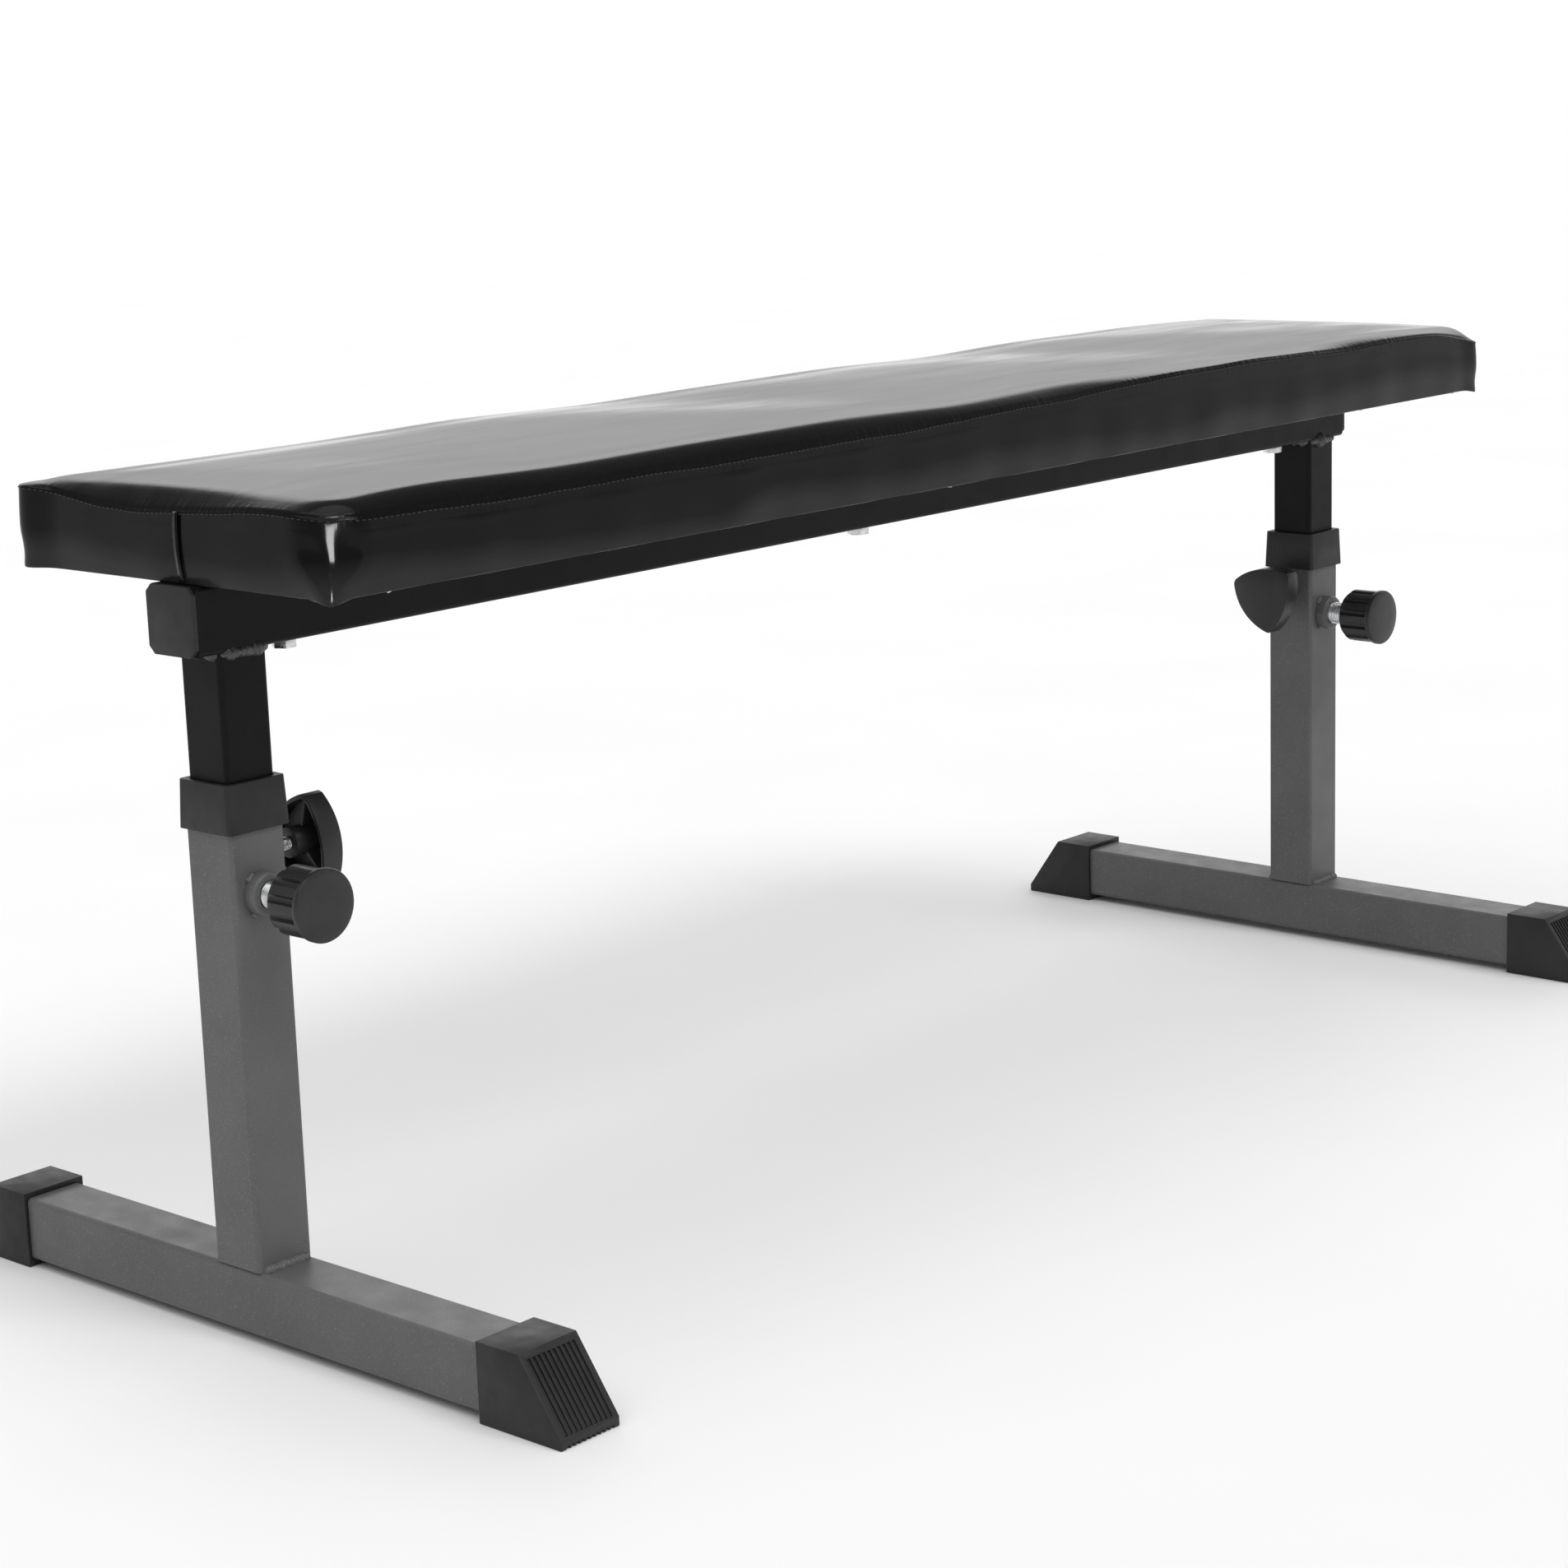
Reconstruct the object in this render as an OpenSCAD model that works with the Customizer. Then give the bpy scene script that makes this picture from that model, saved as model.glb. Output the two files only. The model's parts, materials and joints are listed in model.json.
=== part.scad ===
// Flat weight bench. Two telescoping T-shaped legs carry one beam with a long boxed pad.
// Millimetres, +Z up, +X along the bench. The origin is on the floor under the middle of the bench.
// The near leg is at -X, the far leg at +X. The pull pins face -Y, the clamp knobs face each other.

/* [Steel tubes] */
// Outside width of the square feet, uprights and beam
tube_w = 40; // [38:1:44]
// Wall of every steel tube
tube_wall = 1.5; // [1.2:0.1:1.8]
// Outside corner radius of every steel tube
tube_r = 3; // [2.5:0.5:4]
// Clearance on each side between post and upright
post_play = 1; // [0.8:0.1:1.2]

/* [Layout along the bench] */
// Distance between the axes of the two uprights
leg_span = 1120; // [900:10:1300]
// Beam and plug beyond the near upright's axis
beam_near_overhang = 36; // [32:1:60]
// Beam and plug beyond the far upright's axis
beam_far_overhang = 30; // [26:1:48]
// Pad beyond the far upright's axis
pad_far_overhang = 50; // [48:1:90]
// How far the pad's near end lies behind the beam's near end
pad_setback = 8; // [0:1:20]

/* [Heights] */
// Top of the collars above the floor
collar_top = 336; // [330:1:360]
// Length of post seen between collar and beam, as modelled
post_seen = 75; // [69:1:90]
// Distance between two height settings
hole_pitch = 30; // [25:1:30]
// Settings below and above the modelled one
settings_below = 1; // [0:1:1]
settings_above = 3; // [1:1:3]

/* [Feet] */
// Length of a foot over its caps
foot_l = 535; // [450:5:600]
// Width of a foot cap
cap_w = 45; // [45:0.5:48]
// Height of a foot cap
cap_h = 48; // [48:0.5:50]
// Length of a foot cap along its top
cap_top_l = 33; // [30:1:40]
// Length of a foot cap's slope, measured level
cap_slope_l = 30.5; // [24:0.5:36]
// Height of the upright toe below the slope
toe_h = 5.5; // [4:0.5:8]
// Thickness of a cap's ribbed sole
sole_t = 4.5; // [4:0.5:5]
// Number of grooves down the slope and along the sole
groove_count = 10; // [6:1:10]
// Distance between two grooves
groove_pitch = 3.8; // [3.4:0.1:3.8]

/* [Collar] */
// Height of a collar
collar_h = 29; // [26:1:34]
// Width of a collar at its lower edge
collar_base_w = 45.7; // [45:0.1:48]
// Width of a collar at its top
collar_top_w = 43.4; // [43:0.1:45]

/* [Pull pin] */
// Height of the pull pin's axis above the floor
pin_z = 270; // [262:1:275]
// Radius of the pin's nose
pin_nose_r = 5; // [4:0.5:5]
// Radius of the fluted knob's plain front
pin_knob_r = 21.6; // [18:0.2:23]
// Number of flutes
flute_count = 12; // [8:1:14]

/* [Clamp knob] */
// Height of the clamp screw's axis above the floor
clamp_z = 289; // [288:1:292]
// Radius of the clamp screw
clamp_screw_r = 4; // [3:0.5:4.5]
// Distance from the knob's axis to one of its three corners
clamp_knob_r = 30.4; // [24:0.2:34]

/* [Pad] */
// Width of the pad
pad_w = 256; // [220:2:320]
// Thickness of the pad, board included
pad_t = 55; // [45:1:80]
// Corner radius of the pad seen from above
pad_corner_r = 14; // [10:1:40]
// Thickness of the plywood board
board_t = 12; // [10:1:18]
// Thickness of the vinyl cover
cover_t = 2; // [1:0.5:3]
// Width of the strip of cover turned under the board
turn_under = 30; // [25:1:45]

/* [Hidden] */
$fn = 48;

// how far a cutting shape runs past the face it cuts
over = 1;
// gap between two plastic or steel pieces that only rest on each other
snug = 0.1;
// gap beside the post in the collar's lip and on the glide
slide_gap = 0.3;
// radial clearance of a screw in its nut and of a stem in its hole
screw_gap = 0.05;
// radial clearances of the loose holes
nose_hole_gap = 0.2;
post_hole_gap = 0.4;
clamp_hole_gap = 0.5;
washer_gap = 0.2;
tee_gap = 0.5;
// chamfer on the ends of turned steel pieces
turned_chamfer = 1;
// distance across the flats of the M8 nuts and bolt heads
hex_flats = 13;
hex_r = hex_flats / sqrt(3);

near_x = -(beam_near_overhang + leg_span + pad_far_overhang) / 2 + beam_near_overhang;
far_x = near_x + leg_span;
foot_top = sole_t + tube_w;
lip_t = 3;
upright_top = collar_top - lip_t;
upright_l = upright_top - foot_top;
post_w = tube_w - 2 * tube_wall - 2 * post_play;
post_r = tube_r;
beam_z = collar_top + post_seen;
beam_top = beam_z + tube_w;

plug_flange_t = 3;
plug_insert_l = 16;
insert_floor_t = 1;
insert_wall = 2.5;
insert_hollow_r = 1;
beam_start = near_x - beam_near_overhang + plug_flange_t;
beam_end = far_x + beam_far_overhang - plug_flange_t;
plug_cut = 4.5;

// the post's lower end stays this far above the foot tube in the lowest setting
post_floor_gap = 60;
post_bottom = foot_top + post_floor_gap + settings_below * hole_pitch;
post_l = beam_z - post_bottom;
glide_flange_t = 3;
glide_insert_l = 14;

weld_leg = 4.5;
post_weld_leg = 2.5;

// the foot tube ends this far before the cap's slope begins
tube_setback = 5;
foot_tube_l = foot_l - 2 * (cap_slope_l + tube_setback);
cap_mouth_y = foot_l / 2 - cap_slope_l - cap_top_l;
cap_top_y = foot_l / 2 - cap_slope_l;
cap_toe_y = foot_l / 2;
cap_nose_wall = 6;
slope_groove_w = 2.6;
slope_groove_depth = 1.75;
slope_groove_low = toe_h + 1;
slope_groove_high = cap_h - 3.5;
sole_groove_w = 2;
sole_groove_depth = 1.5;

// pull pin, measured outwards from the upright's axis
face = tube_w / 2;
boss_r = 13.2;
boss_t = 9;
boss_chamfer = 1.2;
sleeve_r = 8.8;
sleeve_end = face + 23.7;
sleeve_end_t = 4;
chamber_r = 6.6;
stem_r = 4;
nose_tip = post_w / 2 + slide_gap;
nose_end = face + 0.6;
shoulder_r = 6.4;
shoulder_t = 2.4;
stem_end = face + 52;
knob_back = sleeve_end + 1.3;
knob_skirt = face + 30;
knob_rim = face + 52;
knob_front = face + 57;
knob_back_r = pin_knob_r - 5.6;
knob_ridge_r = pin_knob_r - 1.2;
knob_dome_r = pin_knob_r * 0.6;
knob_lip = 0.6;
knob_band = 2.4;
flute_w = 4.6;
flute_depth = 3;
wire_r = 0.5;
spring_r = 5.2;
spring_turns = 5;
spring_steps = 20;
spring_sides = 6;
spring_start = nose_end + shoulder_t + wire_r;
spring_end = sleeve_end - sleeve_end_t - wire_r;

// clamp, measured outwards from the upright's axis
clamp_nut_t = 8;
clamp_hub_r = 9;
clamp_hub_back = face + 18;
clamp_skirt_back = face + 25;
clamp_skirt_front = face + 38;
clamp_dome_h = 4.5;
clamp_wall = 3;
clamp_rib_t = 2;
clamp_rib_setback = 2;
// share of the corner radius at which the three corners are cut round
clamp_corner_cut = 0.97;
clamp_screw_tip = post_w / 2 + slide_gap;
clamp_screw_end = clamp_skirt_front - clamp_wall;
near_clamp_spin = 196;
far_clamp_spin = 110;

pad_start = beam_start - plug_flange_t + pad_setback;
pad_end = far_x + pad_far_overhang;
pad_l = pad_end - pad_start;
pad_mid_x = (pad_start + pad_end) / 2;
under_t = 1;
board_z = beam_top + under_t;
foam_z = board_z + board_t;
pad_top = beam_top + pad_t;

bolt_inset = 45;
bolt_xs = [near_x + bolt_inset, (near_x + far_x) / 2, far_x - bolt_inset];
bolt_r = 4;
bolt_hole_r = 4.5;
bolt_head_t = 5.3;
washer_r = 8;
washer_t = 1.6;
tee_r = 11;
tee_flange_t = 1.5;
tee_barrel_r = 5.2;
tee_barrel_l = 9;

// ---- shared shapes ----

module rounded_square(w, r) {
    square([w, w - 2 * r], center = true);
    square([w - 2 * r, w], center = true);
    for (sx = [-1, 1], sy = [-1, 1])
        translate([sx * (w / 2 - r), sy * (w / 2 - r)]) circle(r = r);
}

module rounded_rectangle(l, w, r) {
    square([l, w - 2 * r], center = true);
    square([l - 2 * r, w], center = true);
    for (sx = [-1, 1], sy = [-1, 1])
        translate([sx * (l / 2 - r), sy * (w / 2 - r)]) circle(r = r);
}

// square tube standing on z = 0
module square_tube(w, l, r) {
    difference() {
        linear_extrude(l) rounded_square(w, r);
        translate([0, 0, -over])
            linear_extrude(l + 2 * over) rounded_square(w - 2 * tube_wall, r - tube_wall);
    }
}

// a side outline drawn as (y, z) and given width w along X
module across_x(w) rotate([90, 0, 90]) linear_extrude(w, center = true) children();

// leg pieces are drawn round the near upright's axis, and the far leg mirrors them
module near_leg() translate([near_x, 0, 0]) children();
module far_leg() translate([far_x, 0, 0]) mirror([1, 0, 0]) children();

// local +Z points outwards from the upright's axis: towards -Y for the pin, +X for the clamp
module along_pin() translate([0, 0, pin_z]) rotate([90, 0, 0]) children();
module along_clamp() translate([0, 0, clamp_z]) rotate([0, 90, 0]) children();

// ---- feet and uprights ----

module foot_tube() color("dimgray")
    translate([0, -foot_tube_l / 2, sole_t + tube_w / 2])
        rotate([-90, 0, 0]) square_tube(tube_w, foot_tube_l, tube_r);

function slope_y(z) = cap_top_y + (cap_h - z) * cap_slope_l / (cap_h - toe_h);

module foot_cap() color([0.2, 0.2, 0.2])
    difference() {
        across_x(cap_w) polygon([
            [cap_mouth_y, 0], [cap_toe_y, 0], [cap_toe_y, toe_h],
            [cap_top_y, cap_h], [cap_mouth_y, cap_h]
        ]);
        tube_pocket();
        nose_cavity();
        for (i = [0 : groove_count - 1])
            translate([(i - (groove_count - 1) / 2) * groove_pitch, 0, 0]) {
                slope_groove();
                sole_groove();
            }
    }

module tube_pocket()
    translate([0, cap_mouth_y - over, sole_t + tube_w / 2]) rotate([-90, 0, 0])
        linear_extrude(foot_tube_l / 2 - cap_mouth_y + over + snug)
            rounded_square(tube_w + snug, tube_r);

module nose_cavity()
    across_x(tube_w - 2 * tube_wall) polygon([
        [foot_tube_l / 2 - over, sole_t + tube_wall],
        [slope_y(sole_t + tube_wall) - cap_nose_wall, sole_t + tube_wall],
        [slope_y(foot_top - tube_wall) - cap_nose_wall, foot_top - tube_wall],
        [foot_tube_l / 2 - over, foot_top - tube_wall]
    ]);

module slope_groove()
    let (low = slope_groove_low, high = slope_groove_high, depth = slope_groove_depth)
        across_x(slope_groove_w) polygon([
            [slope_y(low) - depth, low], [slope_y(low) + over, low],
            [slope_y(high) + over, high], [slope_y(high) - depth, high]
        ]);

module sole_groove()
    translate([-sole_groove_w / 2, cap_mouth_y - over, -over])
        cube([sole_groove_w, cap_toe_y - cap_mouth_y + 2 * over, sole_groove_depth + over]);

module rear_cap() foot_cap();
module front_cap() mirror([0, 1, 0]) foot_cap();

module upright() color("dimgray")
    difference() {
        translate([0, 0, foot_top]) square_tube(tube_w, upright_l, tube_r);
        along_pin() translate([0, 0, face - tube_wall - over])
            cylinder(r = pin_nose_r + nose_hole_gap, h = tube_wall + 2 * over);
        along_clamp() translate([0, 0, face - tube_wall - over])
            cylinder(r = clamp_screw_r + clamp_hole_gap, h = tube_wall + 2 * over);
    }

// one straight bead with a triangular section, along X, in the corner at y = 0, z = 0
module bead(l, leg) across_x(l) polygon([[0, 0], [leg, 0], [0, leg]]);

module foot_weld() color("gray")
    for (side = [0, 1]) mirror([0, side, 0])
        translate([0, face, foot_top]) bead(tube_w - 2 * tube_r, weld_leg);

module collar() color([0.22, 0.22, 0.22])
    difference() {
        translate([0, 0, collar_top - collar_h])
            linear_extrude(collar_h, scale = collar_top_w / collar_base_w)
                rounded_square(collar_base_w, tube_r, $fn = 32);
        translate([0, 0, collar_top - collar_h - over])
            linear_extrude(collar_h - lip_t + over + snug) rounded_square(tube_w + snug, tube_r);
        translate([0, 0, collar_top - lip_t - over])
            linear_extrude(lip_t + 2 * over) rounded_square(post_w + 2 * slide_gap, post_r);
    }

// ---- pull pin ----

module pin_boss() color("dimgray")
    along_pin() translate([0, 0, face]) rotate_extrude() polygon([
        [sleeve_r + screw_gap, 0], [boss_r, 0], [boss_r, boss_t - boss_chamfer],
        [boss_r - boss_chamfer, boss_t], [sleeve_r + screw_gap, boss_t]
    ]);

module pin_sleeve() color("silver")
    along_pin() rotate_extrude() polygon([
        [chamber_r, face], [sleeve_r, face],
        [sleeve_r, sleeve_end - turned_chamfer], [sleeve_r - turned_chamfer, sleeve_end],
        [stem_r + screw_gap, sleeve_end], [stem_r + screw_gap, sleeve_end - sleeve_end_t],
        [chamber_r, sleeve_end - sleeve_end_t]
    ]);

module pin_shaft() color("silver")
    along_pin() rotate_extrude() polygon([
        [0, nose_tip], [pin_nose_r - turned_chamfer, nose_tip],
        [pin_nose_r, nose_tip + turned_chamfer], [pin_nose_r, nose_end],
        [shoulder_r, nose_end], [shoulder_r, nose_end + shoulder_t], [stem_r, nose_end + shoulder_t],
        [stem_r, stem_end], [0, stem_end]
    ]);

function spring_point(i, k) =
    let (turn = 360 * i / spring_steps, around = 360 * k / spring_sides)
    let (reach = spring_r + wire_r * cos(around))
    let (rise = (spring_end - spring_start) * i / (spring_steps * spring_turns))
    [reach * cos(turn), reach * sin(turn), spring_start + rise + wire_r * sin(around)];

module pin_spring() color("gray") {
    rings = spring_steps * spring_turns;
    points = [for (i = [0 : rings], k = [0 : spring_sides - 1]) spring_point(i, k)];
    sides = [
        for (i = [0 : rings - 1], k = [0 : spring_sides - 1])
            let (next = (k + 1) % spring_sides, a = i * spring_sides, b = a + spring_sides)
                [a + k, b + k, b + next, a + next]
    ];
    start_cap = [for (k = [0 : spring_sides - 1]) k];
    end_cap = [for (k = [0 : spring_sides - 1]) rings * spring_sides + spring_sides - 1 - k];
    along_pin() polyhedron(points, concat([start_cap, end_cap], sides), convexity = 10);
}

module pin_knob() color([0.15, 0.15, 0.15])
    along_pin() difference() {
        rotate_extrude() polygon([
            [stem_r, knob_back], [knob_back_r, knob_back], [knob_ridge_r, knob_skirt],
            [knob_ridge_r, knob_rim], [pin_knob_r, knob_rim + knob_lip],
            [pin_knob_r, knob_rim + knob_band],
            [pin_knob_r - turned_chamfer, knob_rim + knob_band + turned_chamfer],
            [knob_dome_r, knob_front - knob_lip], [0, knob_front], [0, stem_end], [stem_r, stem_end]
        ]);
        for (i = [0 : flute_count - 1]) rotate([0, 0, 360 * i / flute_count])
            translate([knob_ridge_r - flute_depth, -flute_w / 2, knob_back - over])
                cube([flute_depth + over, flute_w, knob_rim - knob_back]);
    }

// ---- clamp ----

module clamp_nut() color("dimgray")
    along_clamp() translate([0, 0, face]) difference() {
        cylinder(r = hex_r, h = clamp_nut_t, $fn = 6);
        translate([0, 0, -over]) cylinder(r = clamp_screw_r + screw_gap, h = clamp_nut_t + 2 * over);
    }

module clamp_screw() color("silver")
    along_clamp() rotate_extrude() polygon([
        [0, clamp_screw_tip], [clamp_screw_r - turned_chamfer, clamp_screw_tip],
        [clamp_screw_r, clamp_screw_tip + turned_chamfer], [clamp_screw_r, clamp_screw_end],
        [0, clamp_screw_end]
    ]);

// prism with three bulging sides, from z = 0 up, its corners r from the axis
module three_corner_prism(r, h)
    intersection() {
        for_corner(r, 0) cylinder(r = r * sqrt(3), h = h, $fn = 96);
        for_corner(r, 1) cylinder(r = r * sqrt(3), h = h, $fn = 96);
        for_corner(r, 2) cylinder(r = r * sqrt(3), h = h, $fn = 96);
        cylinder(r = r * clamp_corner_cut, h = h);
    }

module for_corner(r, i) rotate([0, 0, 120 * i]) translate([r, 0, 0]) children();

module clamp_knob(spin) color([0.2, 0.2, 0.2]) {
    depth = clamp_skirt_front - clamp_skirt_back + clamp_dome_h;
    inside = clamp_skirt_front - clamp_skirt_back - clamp_wall;
    dome_r = (pow(clamp_knob_r, 2) + pow(clamp_dome_h, 2)) / (2 * clamp_dome_h);
    along_clamp() rotate([0, 0, spin]) difference() {
        union() {
            translate([0, 0, clamp_skirt_back]) difference() {
                intersection() {
                    three_corner_prism(clamp_knob_r, depth);
                    translate([0, 0, depth - dome_r]) sphere(r = dome_r, $fn = 96);
                }
                translate([0, 0, -over]) three_corner_prism(clamp_knob_r - clamp_wall, inside + over);
            }
            translate([0, 0, clamp_hub_back])
                cylinder(r = clamp_hub_r, h = clamp_skirt_back + inside + over - clamp_hub_back);
            for (i = [0 : 2]) rotate([0, 0, 120 * i])
                translate([clamp_hub_r - over, -clamp_rib_t / 2, clamp_skirt_back + clamp_rib_setback])
                    cube([clamp_knob_r - clamp_wall - clamp_hub_r, clamp_rib_t,
                          inside + over - clamp_rib_setback]);
        }
        translate([0, 0, clamp_hub_back - over])
            cylinder(r = clamp_screw_r, h = clamp_screw_end - clamp_hub_back + over);
    }
}

// ---- beam and posts ----

module beam() color([0.1, 0.1, 0.1])
    difference() {
        translate([beam_start, 0, beam_z + tube_w / 2])
            rotate([0, 90, 0]) square_tube(tube_w, beam_end - beam_start, tube_r);
        for (x = bolt_xs) translate([x, 0, beam_z - over])
            cylinder(r = bolt_hole_r, h = tube_w + 2 * over);
    }

// plug for a beam end, flange on z = 0 and insert above it
module beam_plug() color([0.2, 0.2, 0.2]) {
    half = tube_w / 2;
    edge = half - plug_cut;
    linear_extrude(plug_flange_t) polygon([
        [half, edge], [edge, half], [-edge, half], [-half, edge],
        [-half, -edge], [-edge, -half], [edge, -half], [half, -edge]
    ]);
    translate([0, 0, plug_flange_t]) difference() {
        linear_extrude(plug_insert_l) rounded_square(tube_w - 2 * tube_wall - snug, tube_r - tube_wall);
        translate([0, 0, insert_floor_t]) linear_extrude(plug_insert_l)
            rounded_square(tube_w - 2 * tube_wall - 2 * insert_wall, insert_hollow_r);
    }
}

module near_plug() translate([beam_start - plug_flange_t, 0, beam_z + tube_w / 2])
    rotate([0, 90, 0]) beam_plug();
module far_plug() translate([beam_end + plug_flange_t, 0, beam_z + tube_w / 2])
    rotate([0, -90, 0]) beam_plug();

module post() color([0.13, 0.13, 0.13])
    difference() {
        translate([0, 0, post_bottom]) square_tube(post_w, post_l, post_r);
        for (i = [-settings_above : settings_below])
            translate([0, 0, i * hole_pitch]) along_pin()
                translate([0, 0, post_w / 2 - tube_wall - over])
                    cylinder(r = pin_nose_r + post_hole_gap, h = tube_wall + 2 * over);
    }

module post_weld() color([0.15, 0.15, 0.15])
    translate([0, 0, beam_z]) for (side = [0 : 3])
        rotate([0, 0, 90 * side]) translate([0, post_w / 2, 0]) mirror([0, 0, 1])
            bead(post_w - 2 * post_r, post_weld_leg);

module post_glide() color([0.2, 0.2, 0.2])
    translate([0, 0, post_bottom - glide_flange_t]) {
        linear_extrude(glide_flange_t)
            rounded_square(tube_w - 2 * tube_wall - 2 * slide_gap, tube_r - tube_wall);
        translate([0, 0, glide_flange_t]) difference() {
            linear_extrude(glide_insert_l)
                rounded_square(post_w - 2 * tube_wall - snug, tube_r - tube_wall);
            translate([0, 0, insert_floor_t]) linear_extrude(glide_insert_l)
                rounded_square(post_w - 2 * tube_wall - 2 * insert_wall, insert_hollow_r);
        }
    }

// ---- pad ----

module pad_slab(z, t, inset) translate([pad_mid_x, 0, z]) linear_extrude(t)
    rounded_rectangle(pad_l - 2 * inset, pad_w - 2 * inset, pad_corner_r - inset);

module at_bolts() for (x = bolt_xs) translate([x, 0, 0]) children();

module pad_board() color("burlywood")
    difference() {
        pad_slab(board_z, board_t, cover_t);
        at_bolts() translate([0, 0, board_z - over]) cylinder(r = tee_barrel_r + snug, h = board_t + 2 * over);
    }

module pad_foam() color("khaki")
    difference() {
        pad_slab(foam_z, pad_top - cover_t - foam_z, cover_t);
        at_bolts() translate([0, 0, foam_z - over]) cylinder(r = tee_r + tee_gap, h = tee_flange_t + tee_gap + over);
    }

module pad_cover() color([0.12, 0.12, 0.12])
    difference() {
        pad_slab(beam_top, pad_t, 0);
        pad_slab(board_z, pad_t - under_t - cover_t, cover_t);
        translate([pad_mid_x, 0, beam_top - over]) linear_extrude(under_t + 2 * over)
            square([pad_l - 2 * turn_under, pad_w - 2 * turn_under], center = true);
    }

module pad_dust_cover() color([0.08, 0.08, 0.08])
    difference() {
        translate([pad_mid_x, 0, beam_top]) linear_extrude(under_t)
            square([pad_l - 2 * turn_under - snug, pad_w - 2 * turn_under - snug], center = true);
        at_bolts() translate([0, 0, beam_top - over]) cylinder(r = tee_barrel_r, h = under_t + 2 * over);
    }

module pad_bolts() color("silver")
    at_bolts() {
        translate([0, 0, beam_z - washer_t - bolt_head_t])
            cylinder(r = hex_r, h = bolt_head_t, $fn = 6);
        translate([0, 0, beam_z - washer_t]) cylinder(r = bolt_r, h = foam_z - beam_z + washer_t);
    }

module pad_washers() color("lightgray")
    at_bolts() translate([0, 0, beam_z - washer_t]) difference() {
        cylinder(r = washer_r, h = washer_t);
        translate([0, 0, -over]) cylinder(r = bolt_r + washer_gap, h = washer_t + 2 * over);
    }

module pad_tee_nuts() color("silver")
    at_bolts() difference() {
        union() {
            translate([0, 0, foam_z]) cylinder(r = tee_r, h = tee_flange_t);
            translate([0, 0, foam_z - tee_barrel_l]) cylinder(r = tee_barrel_r, h = tee_barrel_l + tee_flange_t);
        }
        translate([0, 0, foam_z - tee_barrel_l - over])
            cylinder(r = bolt_r + screw_gap, h = tee_barrel_l + tee_flange_t + 2 * over);
    }

// ---- one line per node ----

beam();
near_plug();  // beam_plug_near
far_plug();  // beam_plug_far
near_leg() post();  // near_post
far_leg() post();  // far_post
near_leg() post_weld();  // near_post_weld
far_leg() post_weld();  // far_post_weld
near_leg() post_glide();  // near_post_glide
far_leg() post_glide();  // far_post_glide
pad_board();
pad_foam();
pad_cover();
pad_dust_cover();
pad_bolts();
pad_washers();
pad_tee_nuts();
near_leg() foot_tube();  // near_foot_tube
near_leg() front_cap();  // near_foot_cap_front
near_leg() rear_cap();  // near_foot_cap_rear
near_leg() upright();  // near_upright
near_leg() foot_weld();  // near_foot_weld
near_leg() collar();  // near_collar
near_leg() pin_boss();  // near_pin_boss
near_leg() pin_sleeve();  // near_pin_sleeve
near_leg() pin_shaft();  // near_pin_shaft
near_leg() pin_spring();  // near_pin_spring
near_leg() pin_knob();  // near_pin_knob
near_leg() clamp_nut();  // near_clamp_nut
near_leg() clamp_screw();  // near_clamp_screw
near_leg() clamp_knob(near_clamp_spin);  // near_clamp_knob
far_leg() foot_tube();  // far_foot_tube
far_leg() front_cap();  // far_foot_cap_front
far_leg() rear_cap();  // far_foot_cap_rear
far_leg() upright();  // far_upright
far_leg() foot_weld();  // far_foot_weld
far_leg() collar();  // far_collar
far_leg() pin_boss();  // far_pin_boss
far_leg() pin_sleeve();  // far_pin_sleeve
far_leg() pin_shaft();  // far_pin_shaft
far_leg() pin_spring();  // far_pin_spring
far_leg() pin_knob();  // far_pin_knob
far_leg() clamp_nut();  // far_clamp_nut
far_leg() clamp_screw();  // far_clamp_screw
far_leg() clamp_knob(far_clamp_spin);  // far_clamp_knob
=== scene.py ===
import json
import math
from itertools import product

import bmesh
import bpy
import numpy as np
from mathutils import Matrix, Vector, noise
from mathutils.bvhtree import BVHTree

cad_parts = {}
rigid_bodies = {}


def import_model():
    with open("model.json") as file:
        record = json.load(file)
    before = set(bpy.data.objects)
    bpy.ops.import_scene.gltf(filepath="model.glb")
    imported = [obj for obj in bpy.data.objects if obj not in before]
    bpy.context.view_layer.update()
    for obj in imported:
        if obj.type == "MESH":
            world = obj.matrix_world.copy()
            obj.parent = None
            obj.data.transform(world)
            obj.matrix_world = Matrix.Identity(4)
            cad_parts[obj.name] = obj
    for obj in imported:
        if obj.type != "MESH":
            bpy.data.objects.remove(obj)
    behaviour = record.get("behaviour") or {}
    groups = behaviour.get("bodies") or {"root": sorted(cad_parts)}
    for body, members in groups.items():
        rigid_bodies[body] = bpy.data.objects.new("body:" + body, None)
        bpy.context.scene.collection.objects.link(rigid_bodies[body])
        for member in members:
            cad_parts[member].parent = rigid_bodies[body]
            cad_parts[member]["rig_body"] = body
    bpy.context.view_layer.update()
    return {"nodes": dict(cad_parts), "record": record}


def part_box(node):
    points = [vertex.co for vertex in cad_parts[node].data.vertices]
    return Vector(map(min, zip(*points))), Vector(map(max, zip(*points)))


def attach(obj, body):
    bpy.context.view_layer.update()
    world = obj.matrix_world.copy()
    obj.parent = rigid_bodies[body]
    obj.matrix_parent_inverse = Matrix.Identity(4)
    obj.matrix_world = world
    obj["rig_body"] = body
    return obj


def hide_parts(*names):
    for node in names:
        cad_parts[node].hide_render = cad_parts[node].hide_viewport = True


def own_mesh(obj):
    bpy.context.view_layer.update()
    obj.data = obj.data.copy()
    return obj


# An adjustable flat weight bench. Everything is in metres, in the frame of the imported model:
# +X along the bench, +Z up, the pull pins towards -Y.

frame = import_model()

SIDES = ("near", "far")
MM = 0.001

# ---- camera ----

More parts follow.
